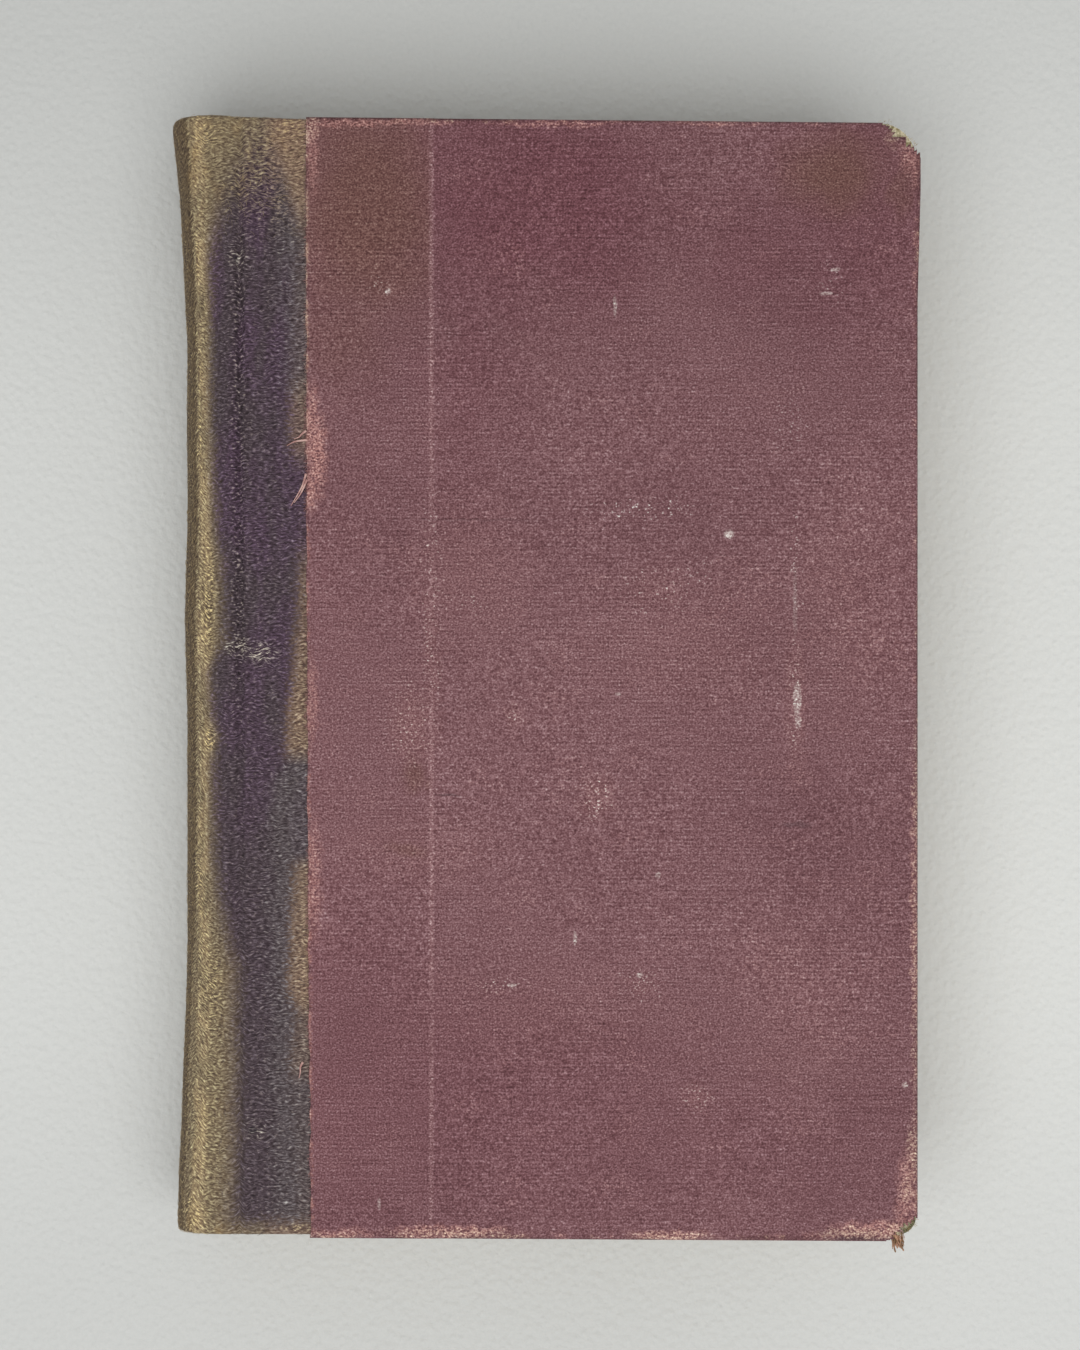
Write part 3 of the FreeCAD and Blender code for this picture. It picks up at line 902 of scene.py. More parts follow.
# %% The two halves of the spine cloth
spine_rows = 300
fold_steps = 10
inside_steps = 5
nap_thickness = 0.45
head_board_end = 120.15
head_cap_rise = 2.2
tail_board_end = -119.75
tail_cap_drop = 2.5
cap_bow = 0.5
cap_bow_reach = 14.0
off_board_x = 0.5
off_board_span = 2.6
wrap_off_board = 1.8
wrap_inside = 1.6
roll_share = 0.75
roll_limit = 2.0
end_bulge = 0.9
joint_bulge = 0.4
head_roll = 1.0
tail_roll = 0.2
shallow_share = 0.75
shallow_reach = 6.0
lump_height = 0.20
crinkle_height = 0.16
crinkle_reach = 1.7
lumps = Ripple(5, 14, 22.0, 60.0)
crinkles = Ripple(8, 24, 2.2, 6.5)


def cloth_ends(end):
    """Where the cloth's edge stands at head or tail, across the section."""
    if end > 0:
        bow = cap_bow * np.clip(1 - plain_x / cap_bow_reach, 0, 1)
        return head_board_end + bow + head_cap_rise * on_arc**0.7
    return tail_board_end - tail_cap_drop * on_arc**1.3


def spine_half_rows(side_sign):
    """All rows of one half, from the fold inside the tail to the fold inside the head."""
    off_board = np.clip((off_board_x - plain_x) / off_board_span, 0, 1)
    end_swells = np.interp([spine_low[1], spine_high[1]], station_y, station_swell)
    rolled = np.minimum(end_swells * roll_share, roll_limit)
    rows_y, rows_depth = [], []

    def fold(end):
        """The fold over the edge: its rows of Y and depth, and where the flat cloth starts."""
        wrap = (turn_z - strip_low[2]) * (1 - off_board) + wrap_off_board * off_board
        wrap = wrap + rolled[1 if end > 0 else 0] * on_arc
        bulge = end_bulge + joint_bulge * off_board + (head_roll if end > 0 else tail_roll) * on_arc
        start = cloth_ends(end) - end * bulge
        for k in range(inside_steps, 0, -1):
            share = k / inside_steps
            rows_y.append(start - end * fold_inside * share)
            rows_depth.append(wrap + (np.minimum(wrap, wrap_inside) - wrap) * share * off_board)
        for k in range(fold_steps):
            turn = math.pi * k / (fold_steps - 1)
            rows_y.append(start + end * bulge * math.sin(turn) ** 0.8)
            rows_depth.append(wrap * (1 + math.cos(turn)) / 2)
        return start

    tail_start = fold(-1)
    tail_y, tail_depth = rows_y[:], rows_depth[:]
    rows_y.clear()
    rows_depth.clear()
    head_start = fold(1)
    between_y = [tail_start + (head_start - tail_start) * k / spine_rows for k in range(1, spine_rows)]
    y = np.array(tail_y + between_y + rows_y[::-1])
    depth = np.array(tail_depth + [np.zeros(len(on_arc))] * len(between_y) + rows_depth[::-1])

    swell = np.interp(y[:, -1], station_y, station_swell)
    x, z = sections(swell)
    # The joint is shallower where the cloth turns over at head and tail.
    from_end = np.minimum(y[:, -1] - y[:, -1].min(), y[:, -1].max() - y[:, -1])
    flat_share = shallow_share * np.clip(1 - from_end / shallow_reach, 0, 1)[:, None]
    level = crest_z + (turn_z - crest_z) * np.clip((x - crest_x) / (joint_middle - crest_x), 0, 1)
    in_groove = (x > crest_x) & (x < joint_middle + joint_half)
    z = np.where(in_groove, z + (level - z) * flat_share, z)
    normal_x, normal_z = outward(x, z)
    in_joint = np.clip(1 - np.abs(x - joint_middle) / crinkle_reach, 0, 1)
    lump = lump_height * lumps.at(section_u + 90 * side_sign, y) * off_board * (1 - on_arc**4)
    offset = lump + crinkle_height * crinkles.at(section_u * 0.5, y) * in_joint - depth
    x = x + normal_x * offset
    z = z + normal_z * offset
    across_cloth = section_u if side_sign > 0 else 2 * middle_u - section_u
    # Along the book the map follows the cloth round its folds, and is Y where it lies flat.
    travelled = np.sqrt(np.diff(x, axis=0) ** 2 + np.diff(y, axis=0) ** 2 + np.diff(z, axis=0) ** 2)
    along_cloth = np.concatenate((np.zeros((1, y.shape[1])), np.cumsum(travelled, axis=0)))
    flat_row = len(tail_y) + spine_rows // 2
    along_cloth = along_cloth - along_cloth[flat_row] + y[flat_row]
    maps = np.stack((np.broadcast_to(across_cloth, y.shape), along_cloth), -1)
    return np.stack((x, y, z * side_sign), -1), maps


def bend_with_cover(obj):
    """Bakes a piece's place into its mesh."""
    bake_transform(obj)


def make_spine_half(side, side_sign):
    """Front or back half of the spine cloth."""
    rows, maps = spine_half_rows(side_sign)
    half = grid_mesh(f"spine_cloth_{side}", rows, nap_finish, flip=side_sign > 0, uv=maps)
    sheets[side] = half.data.copy()
    thicken(half, nap_thickness)
    bend_with_cover(half)
    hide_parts(f"{side}_spine_strip", *(["spine_cover"] if side == "front" else []))
    print(half.name, count_triangles(half), "triangles")


# The halves before they are thickened, for the hairs that grow on them
sheets = {}
for side, side_sign in sides:
    make_spine_half(side, side_sign)

# %% [markdown]
# ## The side cloths
# Each cover wears one sheet of book cloth, folded over the board's three free
# edges and pasted down inside. The outer face is a grid. Around it run rings of
# points, one for each step over the edge and back inside, which bend round the
# rounded corners. Where a corner is worn through, the faces there are taken away
# and the stiff tip under the cloth shows.

# %% Shape of the side cloth
ring_inset = 12.0
edge_round = 0.9
cloth_thickness = 0.34
face_columns = 124
face_rows = 210
press_step = 0.25
press_span = 1.0
lip_height = 0.07
lip_reach = 0.7
wave_height = 0.10
wave_inset = 6.0
seam_inset = 0.2
seam_ragged = 0.16
worn_ragged = 0.045
worn_slant = 0.3
worn_seed = 50
face_insets = (9.0, 6.5, 4.6, 3.2, 2.2, 1.5)
inside_insets = (1.6, 4.0, 8.0, 13.0)
# Per corner: radius of the cloth's outline, and how far in from the corner it has worn
# away, along the end and along the fore-edge
corner_wear = {
    ("front", 1): (2.6, 8.6, 7.2), ("front", -1): (2.0, 5.6, 4.8),
    ("back", 1): (3.0, 5.4, 5.0), ("back", -1): (2.5, 4.6, 4.8),
}
# The cover isn't quite square: how far its ends stand out beyond the solid's, beside
# the spine and at the fore-edge
head_slant = (0.75, -0.5)
tail_slant = (-0.1, -0.9)
fore_edge_flare = 0.65
flare_start = 0.84
flare_span = 0.1
face_waves = Ripple(21, 12, 30.0, 90.0)
seam_waves = Ripple(33, 20, 1.2, 14.0)
top_z = cloth_high[2]
inner_z = cloth_low[2] + press_step


def seam_x(y):
    """The cut edge of the cloth beside the spine, which wanders a little."""
    head_share = (cloth_high[1] - y) / (cloth_high[1] - cloth_low[1])
    wander = seam_ragged * seam_waves.at(y, 0.0 * y)
    return cloth_low[0] + seam_inset + seam_drift * head_share**2 + wander


def face_height(x, y):
    """Outer face: a step down past the hidden edge of the spine cloth."""
    past = np.clip((x - strip_high[0]) / press_span, 0, 1)
    step = press_step * rounded(past)
    lip = lip_height * np.exp(-(((x - strip_high[0]) / lip_reach) ** 2))
    return top_z - step + lip


def side_point(side_name, share, inset, radii):
    """A place on one side of the rounded outline moved inwards by an inset."""
    tail_radius = max(radii[-1] - inset, 0.0)
    head_radius = max(radii[1] - inset, 0.0)
    right = cloth_high[0] - inset
    low_y, high_y = cloth_low[1] + inset, cloth_high[1] - inset
    if side_name == "fore_edge":
        return along_side(share, low_y, high_y, right, tail_radius, head_radius)
    end_y, radius, sign = (low_y, tail_radius, -1) if side_name == "tail" else (high_y, head_radius, 1)
    start_x = seam_x(np.array(end_y))
    straight = right - radius - start_x
    arc = radius * math.pi / 4
    travelled = share * (straight + arc)
    if travelled <= straight or radius == 0.0:
        return start_x + min(travelled, straight), end_y
    turn = (travelled - straight) / radius
    return right - radius + radius * math.sin(turn), end_y - sign * radius * (1 - math.cos(turn))


def along_side(share, low_y, high_y, right, tail_radius, head_radius):
    """A place on the fore-edge, from the middle of one corner to the next."""
    tail_arc, head_arc = tail_radius * math.pi / 4, head_radius * math.pi / 4
    straight = high_y - low_y - tail_radius - head_radius
    travelled = share * (tail_arc + straight + head_arc)
    if travelled < tail_arc:
        turn = math.pi / 4 - travelled / tail_radius
        return right - tail_radius * (1 - math.cos(turn)), low_y + tail_radius * (1 - math.sin(turn))
    travelled -= tail_arc
    if travelled <= straight:
        return right, low_y + tail_radius + travelled
    turn = (travelled - straight) / head_radius if head_radius else 0.0
    return right - head_radius * (1 - math.cos(turn)), high_y - head_radius * (1 - math.sin(turn))


def edge_profile():
    """Steps from the face over the edge to the inside, as inset and height."""
    outer = top_z - press_step
    steps = [(inset, outer) for inset in face_insets]
    for turn in np.linspace(0, math.pi / 2, 6):
        steps.append((edge_round * (1 - math.sin(turn)), outer - edge_round * (1 - math.cos(turn))))
    steps.append((0.0, (outer + inner_z) / 2))
    for turn in np.linspace(math.pi / 2, 0, 5):
        steps.append((edge_round * (1 - math.sin(turn)), inner_z + edge_round * (1 - math.cos(turn))))
    steps += [(inset, inner_z) for inset in inside_insets]
    return steps


# %% Build the side cloths


def cloth_vertices(radii):
    """Face grid and rings, as places and as faces."""
    right = cloth_high[0] - ring_inset
    y_values = np.linspace(cloth_low[1] + ring_inset, cloth_high[1] - ring_inset, face_rows + 1)
    share = np.linspace(0, 1, face_columns + 1)
    starts = seam_x(y_values)
    grid_x = starts[:, None] + (right - starts[:, None]) * share[None, :]
    grid_y = np.repeat(y_values[:, None], face_columns + 1, axis=1)
    grid_z = face_height(grid_x, grid_y) + wave_height * face_waves.at(grid_x, grid_y)
    places = np.stack((grid_x, grid_y, grid_z), -1).reshape(-1, 3).tolist()
    index = np.arange(len(places)).reshape(face_rows + 1, face_columns + 1)
    faces = [
        (index[r, c], index[r, c + 1], index[r + 1, c + 1], index[r + 1, c])
        for r in range(face_rows)
        for c in range(face_columns)
    ]
    ring = [int(index[0, c]) for c in range(face_columns + 1)]
    ring += [int(index[r, face_columns]) for r in range(1, face_rows + 1)]
    ring += [int(index[face_rows, c]) for c in range(face_columns - 1, -1, -1)]
    stations = [("tail", c / face_columns) for c in range(face_columns + 1)]
    stations += [("fore_edge", r / face_rows) for r in range(1, face_rows + 1)]
    stations += [("head", c / face_columns) for c in range(face_columns - 1, -1, -1)]
    for inset, height in edge_profile():
        fresh = []
        for side_name, share_there in stations:
            x, y = side_point(side_name, share_there, inset, radii)
            x, y = float(x), float(y)
            z = height
            if height > (top_z + inner_z) / 2:
                lift = float(face_height(np.array(x), y)) - (top_z - press_step)
                wave = wave_height * float(face_waves.at(np.array(x), np.array(y)))
                z += lift + wave * min(inset / wave_inset, 1.0)
            elif x < strip_high[0] + press_span:
                z -= press_step
            fresh.append(len(places))
            places.append((x, y, z))
        for k in range(len(ring) - 1):
            faces.append((ring[k + 1], ring[k], fresh[k], fresh[k + 1]))
        ring = fresh
    return np.array(places), faces


def slant_ends(places):
    """Moves the places a little along Y, so that the ends run aslant."""
    across = (places[:, 0] - cloth_low[0]) / (cloth_high[0] - cloth_low[0])
    up = (places[:, 1] - cloth_low[1]) / (cloth_high[1] - cloth_low[1])
    head = head_slant[0] + (head_slant[1] - head_slant[0]) * across
    tail = tail_slant[0] + (tail_slant[1] - tail_slant[0]) * across
    places[:, 1] += tail + (head - tail) * up
    near_head = np.clip((up - flare_start) / flare_span, 0, 1)
    places[:, 0] += fore_edge_flare * near_head * across**6


def wear_corner(bm, along_end, along_edge, end, seed):
    """Takes away the faces beyond a ragged line across a worn corner."""
    ragged = Ripple(seed, 12, 0.35, 2.2)
    corner_y = cloth_high[1] if end > 0 else cloth_low[1]
    gone = []
    for face in bm.faces:
        place = face.calc_center_median()
        from_edge = cloth_high[0] - (place.x / MM - hinge_x)
        from_end = end * (corner_y - place.y / MM)
        beyond = 1.0 - from_edge / along_end - from_end / along_edge
        along_line, across_line = from_edge - from_end, worn_slant * (from_edge + from_end)
        noise = float(ragged.at(np.array(along_line), np.array(across_line)))
        if beyond + worn_ragged * noise > 0:
            gone.append(face)
    bmesh.ops.delete(bm, geom=gone, context="FACES")


def make_side_cloth(side, side_sign, finish):
    """The whole side cloth of one cover."""
    radii = {1: corner_wear[(side, 1)][0], -1: corner_wear[(side, -1)][0]}
    places, faces = cloth_vertices(radii)
    slant_ends(places)
    places[:, 2] *= side_sign
    if side_sign < 0:
        faces = [face[::-1] for face in faces]
    world = (places + np.array((hinge_x, 0.0, middle_z))) * MM
    mesh = bpy.data.meshes.new(f"side_cloth_{side}")
    mesh.from_pydata(world.tolist(), [], [tuple(int(i) for i in face) for face in faces])
    bm = bmesh.new()
    bm.from_mesh(mesh)
    for _, end in ends:
        along_end, along_edge = corner_wear[(side, end)][1:]
        wear_corner(bm, along_end, along_edge, end, worn_seed + end + (10 if side == "back" else 0))
    bm.to_mesh(mesh)
    bm.free()
    cloth = link_mesh(f"side_cloth_{side}", mesh, finish)
    thicken(cloth, cloth_thickness)
    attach(cloth, f"{side}_cover")
    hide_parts(f"{side}_side_cloth")
    print(cloth.name, count_triangles(cloth), "triangles")


for (side, side_sign), finish in zip(sides, (front_cloth_finish, back_cloth_finish)):
    make_side_cloth(side, side_sign, finish)

# %% [markdown]
# ## The pages, by Geometry Nodes
# A block of pages follows a rule: the same leaf again and again, each a hair out
# of line with the next. A line of points stands for the stack, a thin slab is put
# on each, and the whole is then rounded: the middle leaves move back, which
# rounds the spine and hollows the fore-edge. At the back all of them fan out to
# the height of the shoulders, against which the boards lie.

# %% Geometry Nodes helpers


def new_tree(name, inputs):
    """A Geometry Nodes tree with named inputs, and its group input and output."""
    tree = bpy.data.node_groups.new(name, "GeometryNodeTree")
    tree.interface.new_socket("Geometry", in_out="INPUT", socket_type="NodeSocketGeometry")
    for label, kind in inputs:
        tree.interface.new_socket(label, in_out="INPUT", socket_type=f"NodeSocket{kind}")
    tree.interface.new_socket("Geometry", in_out="OUTPUT", socket_type="NodeSocketGeometry")
    entry = tree.nodes.new("NodeGroupInput")
    leave = tree.nodes.new("NodeGroupOutput")
    given = {s.name: Wire(tree, s) for s in entry.outputs if s.name}
    return tree, given, leave


def close_tree(tree, leave, geometry, material):
    """Ends a tree: instances made real, then the material."""
    real = geometry.make("GeometryNodeRealizeInstances", None, {"Geometry": geometry})
    done = real.make("GeometryNodeSetMaterial", None, {"Geometry": real, "Material": material})
    tree.links.new(done.socket, leave.inputs[0])


def run_tree(name, tree, values, start_mesh=None):
    """Runs a tree on an object and keeps the result as a plain mesh."""
    mesh = start_mesh or bpy.data.meshes.new(name)
    obj = bpy.data.objects.new(name, mesh)
    bpy.context.scene.collection.objects.link(obj)
    modifier = obj.modifiers.new("nodes", "NODES")
    modifier.node_group = tree
    for item in tree.interface.items_tree:
        if item.in_out == "INPUT" and item.name in values:
            modifier[item.identifier] = values[item.name]
    return apply_modifiers(obj)


def circle(start, points, radius):
    """A ring of that many points."""
    return start.make("GeometryNodeCurvePrimitiveCircle", None, {"Resolution": points, "Radius": radius})


def tube(start, path, rim, caps=True):
    """A tube with this rim along a path."""
    sockets = {"Curve": path, "Profile Curve": rim, "Fill Caps": caps}
    return start.make("GeometryNodeCurveToMesh", None, sockets)


def arched(start, steps, first, middle, last):
    """A curved path of that many steps through three places."""
    sockets = {"Resolution": steps, "Start": first, "Middle": middle, "End": last}
    return start.make("GeometryNodeCurveQuadraticBezier", None, sockets)


def random_vector(start, low, high, seed):
    """A random vector between two others, new for every point."""
    sockets = {"Min": low, "Max": high, "Seed": seed}
    return start.make("FunctionNodeRandomValue", {"data_type": "FLOAT_VECTOR"}, sockets)


def copies(start, points, piece, **sockets):
    """A copy of a piece on every point."""
    sockets = {"Points": points, "Instance": piece, **sockets}
    return start.make("GeometryNodeInstanceOnPoints", None, sockets)


# %% The tree that stacks the leaves
leaf_count = 104
leaf_share = 0.97
leaf_end_gap = 0.3
leaf_spread = 0.16
fore_edge_hollow = 5.0
flared_until_x = crest_x + 0.1
flat_from_x = 0.1


def make_leaf_tree():
    """A stack of thin slabs, rounded at the back and hollowed at the fore-edge."""
    inputs = [
        ("Leaves", "Int"), ("Stack", "Float"), ("Height", "Float"), ("Length", "Float"),
        ("Fore Edge", "Float"), ("Hollow", "Float"), ("Back Middle", "Float"), ("Back Radius", "Float"),
        ("Flare", "Float"), ("Out Of Line", "Float"), ("Seed", "Int"), ("Material", "Material"),
    ]
    tree, given, leave = new_tree("stacked_leaves", inputs)
    start = Wire(tree)
    pitch = given["Stack"] / given["Leaves"]
    first = start.joined(z=(pitch - given["Stack"]) * 0.5)
    offset = start.joined(z=pitch)
    line = start.make(
        "GeometryNodeMeshLine", None,
        {"Count": given["Leaves"], "Start Location": first, "Offset": offset},
    )
    spread = given["Out Of Line"]
    low = start.joined(spread * -0.4, spread * -1.0)
    high = start.joined(spread * 0.4, spread)
    shift = random_vector(start, low, high, given["Seed"])
    points = start.make("GeometryNodeSetPosition", None, {"Geometry": line, "Offset": shift})
    size = start.joined(given["Length"], given["Height"], pitch * leaf_share)
    leaf = start.make(
        "GeometryNodeMeshCube", None,
        {"Size": size, "Vertices X": 34, "Vertices Y": 2, "Vertices Z": 2},
    )
    stack = copies(start, points, leaf)
    real = start.make("GeometryNodeRealizeInstances", None, {"Geometry": stack})
    place = start.make("GeometryNodeInputPosition")
    axes = start.make("ShaderNodeSeparateXYZ", None, {0: place})
    x, y, z = (Wire(tree, axes.socket.node.outputs[i]) for i in range(3))
    # The points of a leaf crowd towards its back, where it bends out at the shoulder.
    step = x / given["Length"] + 0.5
    share = step * step
    spread_z = z * (1 + given["Flare"])
    root = given["Back Radius"] * given["Back Radius"] - spread_z * spread_z
    back = given["Back Middle"] - root.math("SQRT", root)
    high_share = z / (given["Stack"] * 0.5)
    front = given["Fore Edge"] - given["Hollow"] * (1 - high_share * high_share)
    new_x = back + (front - back) * share
    at_shoulder = new_x.under(flared_until_x * MM, flat_from_x * MM)
    flared = z * (1 + given["Flare"] * at_shoulder)
    moved = start.joined(new_x, y, flared)
    shaped = start.make("GeometryNodeSetPosition", None, {"Geometry": real, "Position": moved})
    close_tree(tree, leave, shaped, given["Material"])
    return tree


pages_stack = leaf_low[2] * 2
ear_z = pages_high[2]
pages_apex = pages_low[0]
pages_sagitta = crest_x - pages_apex
pages_radius = (ear_z**2 + pages_sagitta**2) / (2 * pages_sagitta)
leaves = run_tree(
    "page_leaves",
    make_leaf_tree(),
    {
        "Leaves": leaf_count,
        "Stack": pages_stack * MM,
        "Height": (pages_high[1] - pages_low[1] - leaf_end_gap) * MM,
        "Length": (pages_high[0] - pages_low[0]) * MM,
        "Fore Edge": pages_high[0] * MM,
        "Hollow": fore_edge_hollow * MM,
        "Back Middle": (pages_apex + pages_radius) * MM,
        "Back Radius": pages_radius * MM,
        "Flare": ear_z / (pages_stack / 2) - 1,
        "Out Of Line": leaf_spread * MM,
        "Seed": 4,
        "Material": page_finish,
    },
)
leaves.data.transform(Matrix.Translation(local_to_world(0, 0, 0)))
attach(leaves, "text_block")
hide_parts("text_block")
print("leaves", count_triangles(leaves), "triangles")

# %% [markdown]
# ## Fibres of the nap
# Over the spine cloth lie loose ends of its nap: short arched hairs, scattered over
# the surface and standing a little off it.

# %% The tree that scatters hairs over a sheet
hairs_each_mm2 = 0.34
hair_length = 1.5
hair_radius = 0.03


def make_hair_tree():
    """Short arched hairs, scattered over a sheet and turned at random."""
    inputs = [
        ("Density", "Float"), ("Length", "Float"), ("Thickness", "Float"), ("Seed", "Int"),
        ("Material", "Material"),
    ]
    tree, given, leave = new_tree("nap_hairs", inputs)
    start = Wire(tree)
    spots = start.make(
        "GeometryNodeDistributePointsOnFaces", {"distribute_method": "RANDOM"},
        {"Mesh": given["Geometry"], "Density": given["Density"], "Seed": given["Seed"]},
    )
    upright = Wire(tree, spots.socket.node.outputs["Rotation"])
    size = given["Length"]
    bend = arched(
        start, 3, start.joined(size * -0.5), start.joined(0.0, size * 0.16, size * 0.24),
        start.joined(size * 0.5, size * -0.1),
    )
    hair = tube(start, bend, circle(start, 3, given["Thickness"]))
    spin = random_vector(start, (-0.15, -0.15, -0.9), (0.15, 0.15, 0.9), given["Seed"])
    turn = start.make(
        "FunctionNodeRotateRotation", {"rotation_space": "LOCAL"}, {"Rotation": upright, "Rotate By": spin}
    )
    scale = random_vector(start, (0.4, 0.4, 0.3), (1.4, 1.2, 1.2), given["Seed"])
    grown = copies(start, spots, hair, Rotation=turn, Scale=scale)
    close_tree(tree, leave, grown, given["Material"])
    return tree


hair_tree = make_hair_tree()
hair_tan = shade(172, 152, 116)
hair_grey = shade(112, 98, 102)


def make_hair_finish():
    """Hairs take the colour of the cloth: tan outside the purple band, greyer within it."""
    f = Finish("nap_hair")
    band = f.x.over(-7.5, -4.5) * f.y.under(88.0, 106.0) * f.z.away_from(0.0).over(10.0, 14.0)
    colour = f.mix(band, hair_tan, hair_grey)
    colour = f.lighten(colour, 0.3 + f.noise(1.0, 2.0) * 1.4)
    return f.done(colour, 0.95)


hair_finish = make_hair_finish()
for seed, (side, side_sign) in enumerate(sides, 11):
    values = {
        "Density": hairs_each_mm2 / MM**2, "Length": hair_length * MM, "Thickness": hair_radius * MM,
        "Seed": seed, "Material": hair_finish,
    }
    hairs = run_tree(f"nap_hairs_{side}", hair_tree, values, sheets[side])
    bend_with_cover(hairs)
    print(hairs.name, count_triangles(hairs), "triangles")

# %% [markdown]
# ## Headbands
# A headband is a bead wound with thread, set on the end of the pages just inside
# the cap. Geometry Nodes bend an arc round the back of the pages and put one
# small ring of thread at each step. Runs of four red rings and four cream ones
# take turns, as on a worked band.

# %% The tree that winds the thread
bead_points = 14
thread_points = 5
rings_each_pair = 8.0
last_red_ring = 3.5


def make_band_tree():
    """Rings of thread along an arc, in runs of two colours."""
    inputs = [
        ("Radius", "Float"), ("Bead", "Float"), ("Thread", "Float"), ("Turns", "Int"),
        ("Start", "Float"), ("Sweep", "Float"), ("Material", "Material"), ("Other Material", "Material"),
    ]
    tree, given, leave = new_tree("wound_band", inputs)
    start = Wire(tree)
    arc = start.make(
        "GeometryNodeCurveArc", {"mode": "RADIUS"},
        {"Resolution": 64, "Radius": given["Radius"], "Start Angle": given["Start"],
         "Sweep Angle": given["Sweep"]},
    )
    spots = start.make(
        "GeometryNodeCurveToPoints", {"mode": "COUNT"}, {"Curve": arc, "Count": given["Turns"]}
    )
    turns = Wire(tree, spots.socket.node.outputs["Rotation"])
    bead = circle(start, bead_points, given["Bead"])
    ring = tube(start, bead, circle(start, thread_points, given["Thread"]), caps=False)
    wound = copies(start, spots, ring, Rotation=turns)
    real = start.make("GeometryNodeRealizeInstances", None, {"Geometry": wound})
    first = start.make("GeometryNodeSetMaterial", None, {"Geometry": real, "Material": given["Material"]})
    # A face's number tells which ring it is in.
    rings = start.make("GeometryNodeInputIndex") / (bead_points * thread_points)
    ring_number = rings.math("FLOOR", rings)
    in_pair = ring_number.math("MODULO", ring_number, rings_each_pair)
    chosen = in_pair.math("GREATER_THAN", in_pair, last_red_ring)
    second = start.make(
        "GeometryNodeSetMaterial", None,
        {"Geometry": first, "Selection": chosen, "Material": given["Other Material"]},
    )
    tree.links.new(second.socket, leave.inputs[0])
    return tree


band_tree = make_band_tree()
band_sweep = math.radians(118)
band_turns = 92
band_thread = 0.2


def make_headband(node, name):
    """A wound band in place of a plain bead."""
    low, high = solid_box(node)
    bead = (high[1] - low[1]) / 2 + 0.1
    band = run_tree(
        name, band_tree,
        {
            "Radius": (pages_radius - bead) * MM, "Bead": (bead - 0.12) * MM, "Thread": band_thread * MM,
            "Turns": band_turns, "Start": math.pi - band_sweep / 2, "Sweep": band_sweep,
            "Material": band_red, "Other Material": band_cream,
        },
    )
    # The arc is made flat, in X and Y. It has to stand across the spine, in X and Z.
    for vertex in band.data.vertices:
        x, y, z = vertex.co
        vertex.co = local_to_world(
            pages_apex + pages_radius + x / MM, (low[1] + high[1]) / 2 + z / MM, -y / MM
        )
    for polygon in band.data.polygons:
        polygon.use_smooth = True
    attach(band, "text_block")
    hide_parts(node)
    print(name, count_triangles(band), "triangles")


make_headband("headband", "wound_headband")
make_headband("tailband", "wound_tailband")

# %% [markdown]
# ## The paper in the joint
# When a cover opens, a strip of the endpaper shows: it runs up the shoulder, over
# into the joint and down the edge of the board.

# %% Endpaper strips over the joints
joint_paper_rows = 60
joint_paper_gap = 0.2
joint_paper_thickness = 0.12


def make_joint_paper(side, side_sign):
    """A strip of endpaper that goes over the joint, as X and Z from place to place."""
    face = leaf_high[2]
    route = [
        (2.6, face + 0.02), (0.9, face + 0.02), (0.50, face + 0.15), (0.42, face + 0.9),
        (0.42, face + 1.3), (0.46, face + 1.7), (0.55, face + 1.8), (0.66, face + 1.7),
        (0.72, face + 1.3), (0.72, paste_low[2] + 0.5), (0.80, paste_low[2] + 0.12),
        (1.25, paste_low[2] + 0.05),
    ]
    low_y, high_y = pages_low[1] + joint_paper_gap, pages_high[1] - joint_paper_gap
    y_values = np.linspace(low_y, high_y, joint_paper_rows)
    rows = np.array([[(x, y, z * side_sign) for x, z in route] for y in y_values])
    paper = grid_mesh(f"joint_paper_{side}", rows, endpaper_finish, flip=side_sign > 0)
    thicken(paper, joint_paper_thickness)
    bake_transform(paper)
    print(paper.name, count_triangles(paper), "triangles")


for side, side_sign in sides:
    make_joint_paper(side, side_sign)

# %% [markdown]
# ## Frayed threads
# Thread ends stand out along the cut edge of the maroon cloth, along the worn
# edges and at the bare corners. Each root is a point, and one small tree puts a
# short bent strand on every root, turned and sized at random with a fixed seed.

# %% The tree that grows strands


def make_strand_tree():
    """A short bent strand on every given point, turned and sized at random."""
    inputs = [
        ("Length", "Float"), ("Thickness", "Float"), ("Turn", "Vector"), ("Spread", "Vector"),
        ("Seed", "Int"), ("Material", "Material"),
    ]
    tree, given, leave = new_tree("thread_ends", inputs)
    start = Wire(tree)
    size = given["Length"]
    bend = arched(
        start, 4, (0.0, 0.0, 0.0), start.joined(size * 0.55, 0.0, size * 0.20),
        start.joined(size * 0.95, size * 0.25, size * -0.04),
    )
    strand = tube(start, bend, circle(start, 3, given["Thickness"]))
    turn_range = {0: given["Turn"], 1: given["Spread"]}
    low = start.make("ShaderNodeVectorMath", {"operation": "SUBTRACT"}, turn_range)
    high = start.make("ShaderNodeVectorMath", {"operation": "ADD"}, turn_range)
    turn = random_vector(start, low, high, given["Seed"])
    scale = random_vector(start, (0.35, 0.5, 0.4), (1.3, 1.2, 1.2), given["Seed"])
    grown = copies(start, given["Geometry"], strand, Rotation=turn, Scale=scale)
    close_tree(tree, leave, grown, given["Material"])
    return tree


strand_tree = make_strand_tree()


def make_thread_finish(name, first, second):
    """Loose thread, paler towards some ends."""
    f = Finish(name)
    colour = f.mix(f.noise(1.5, 3.0).over(0.4, 0.6), first, second)
    colour = f.lighten(colour, 0.8 + f.noise(0.3, 1.0) * 0.4)
    return f.done(colour, 0.9, f.noise(0.15, 1.0), 0.3, 0.05)


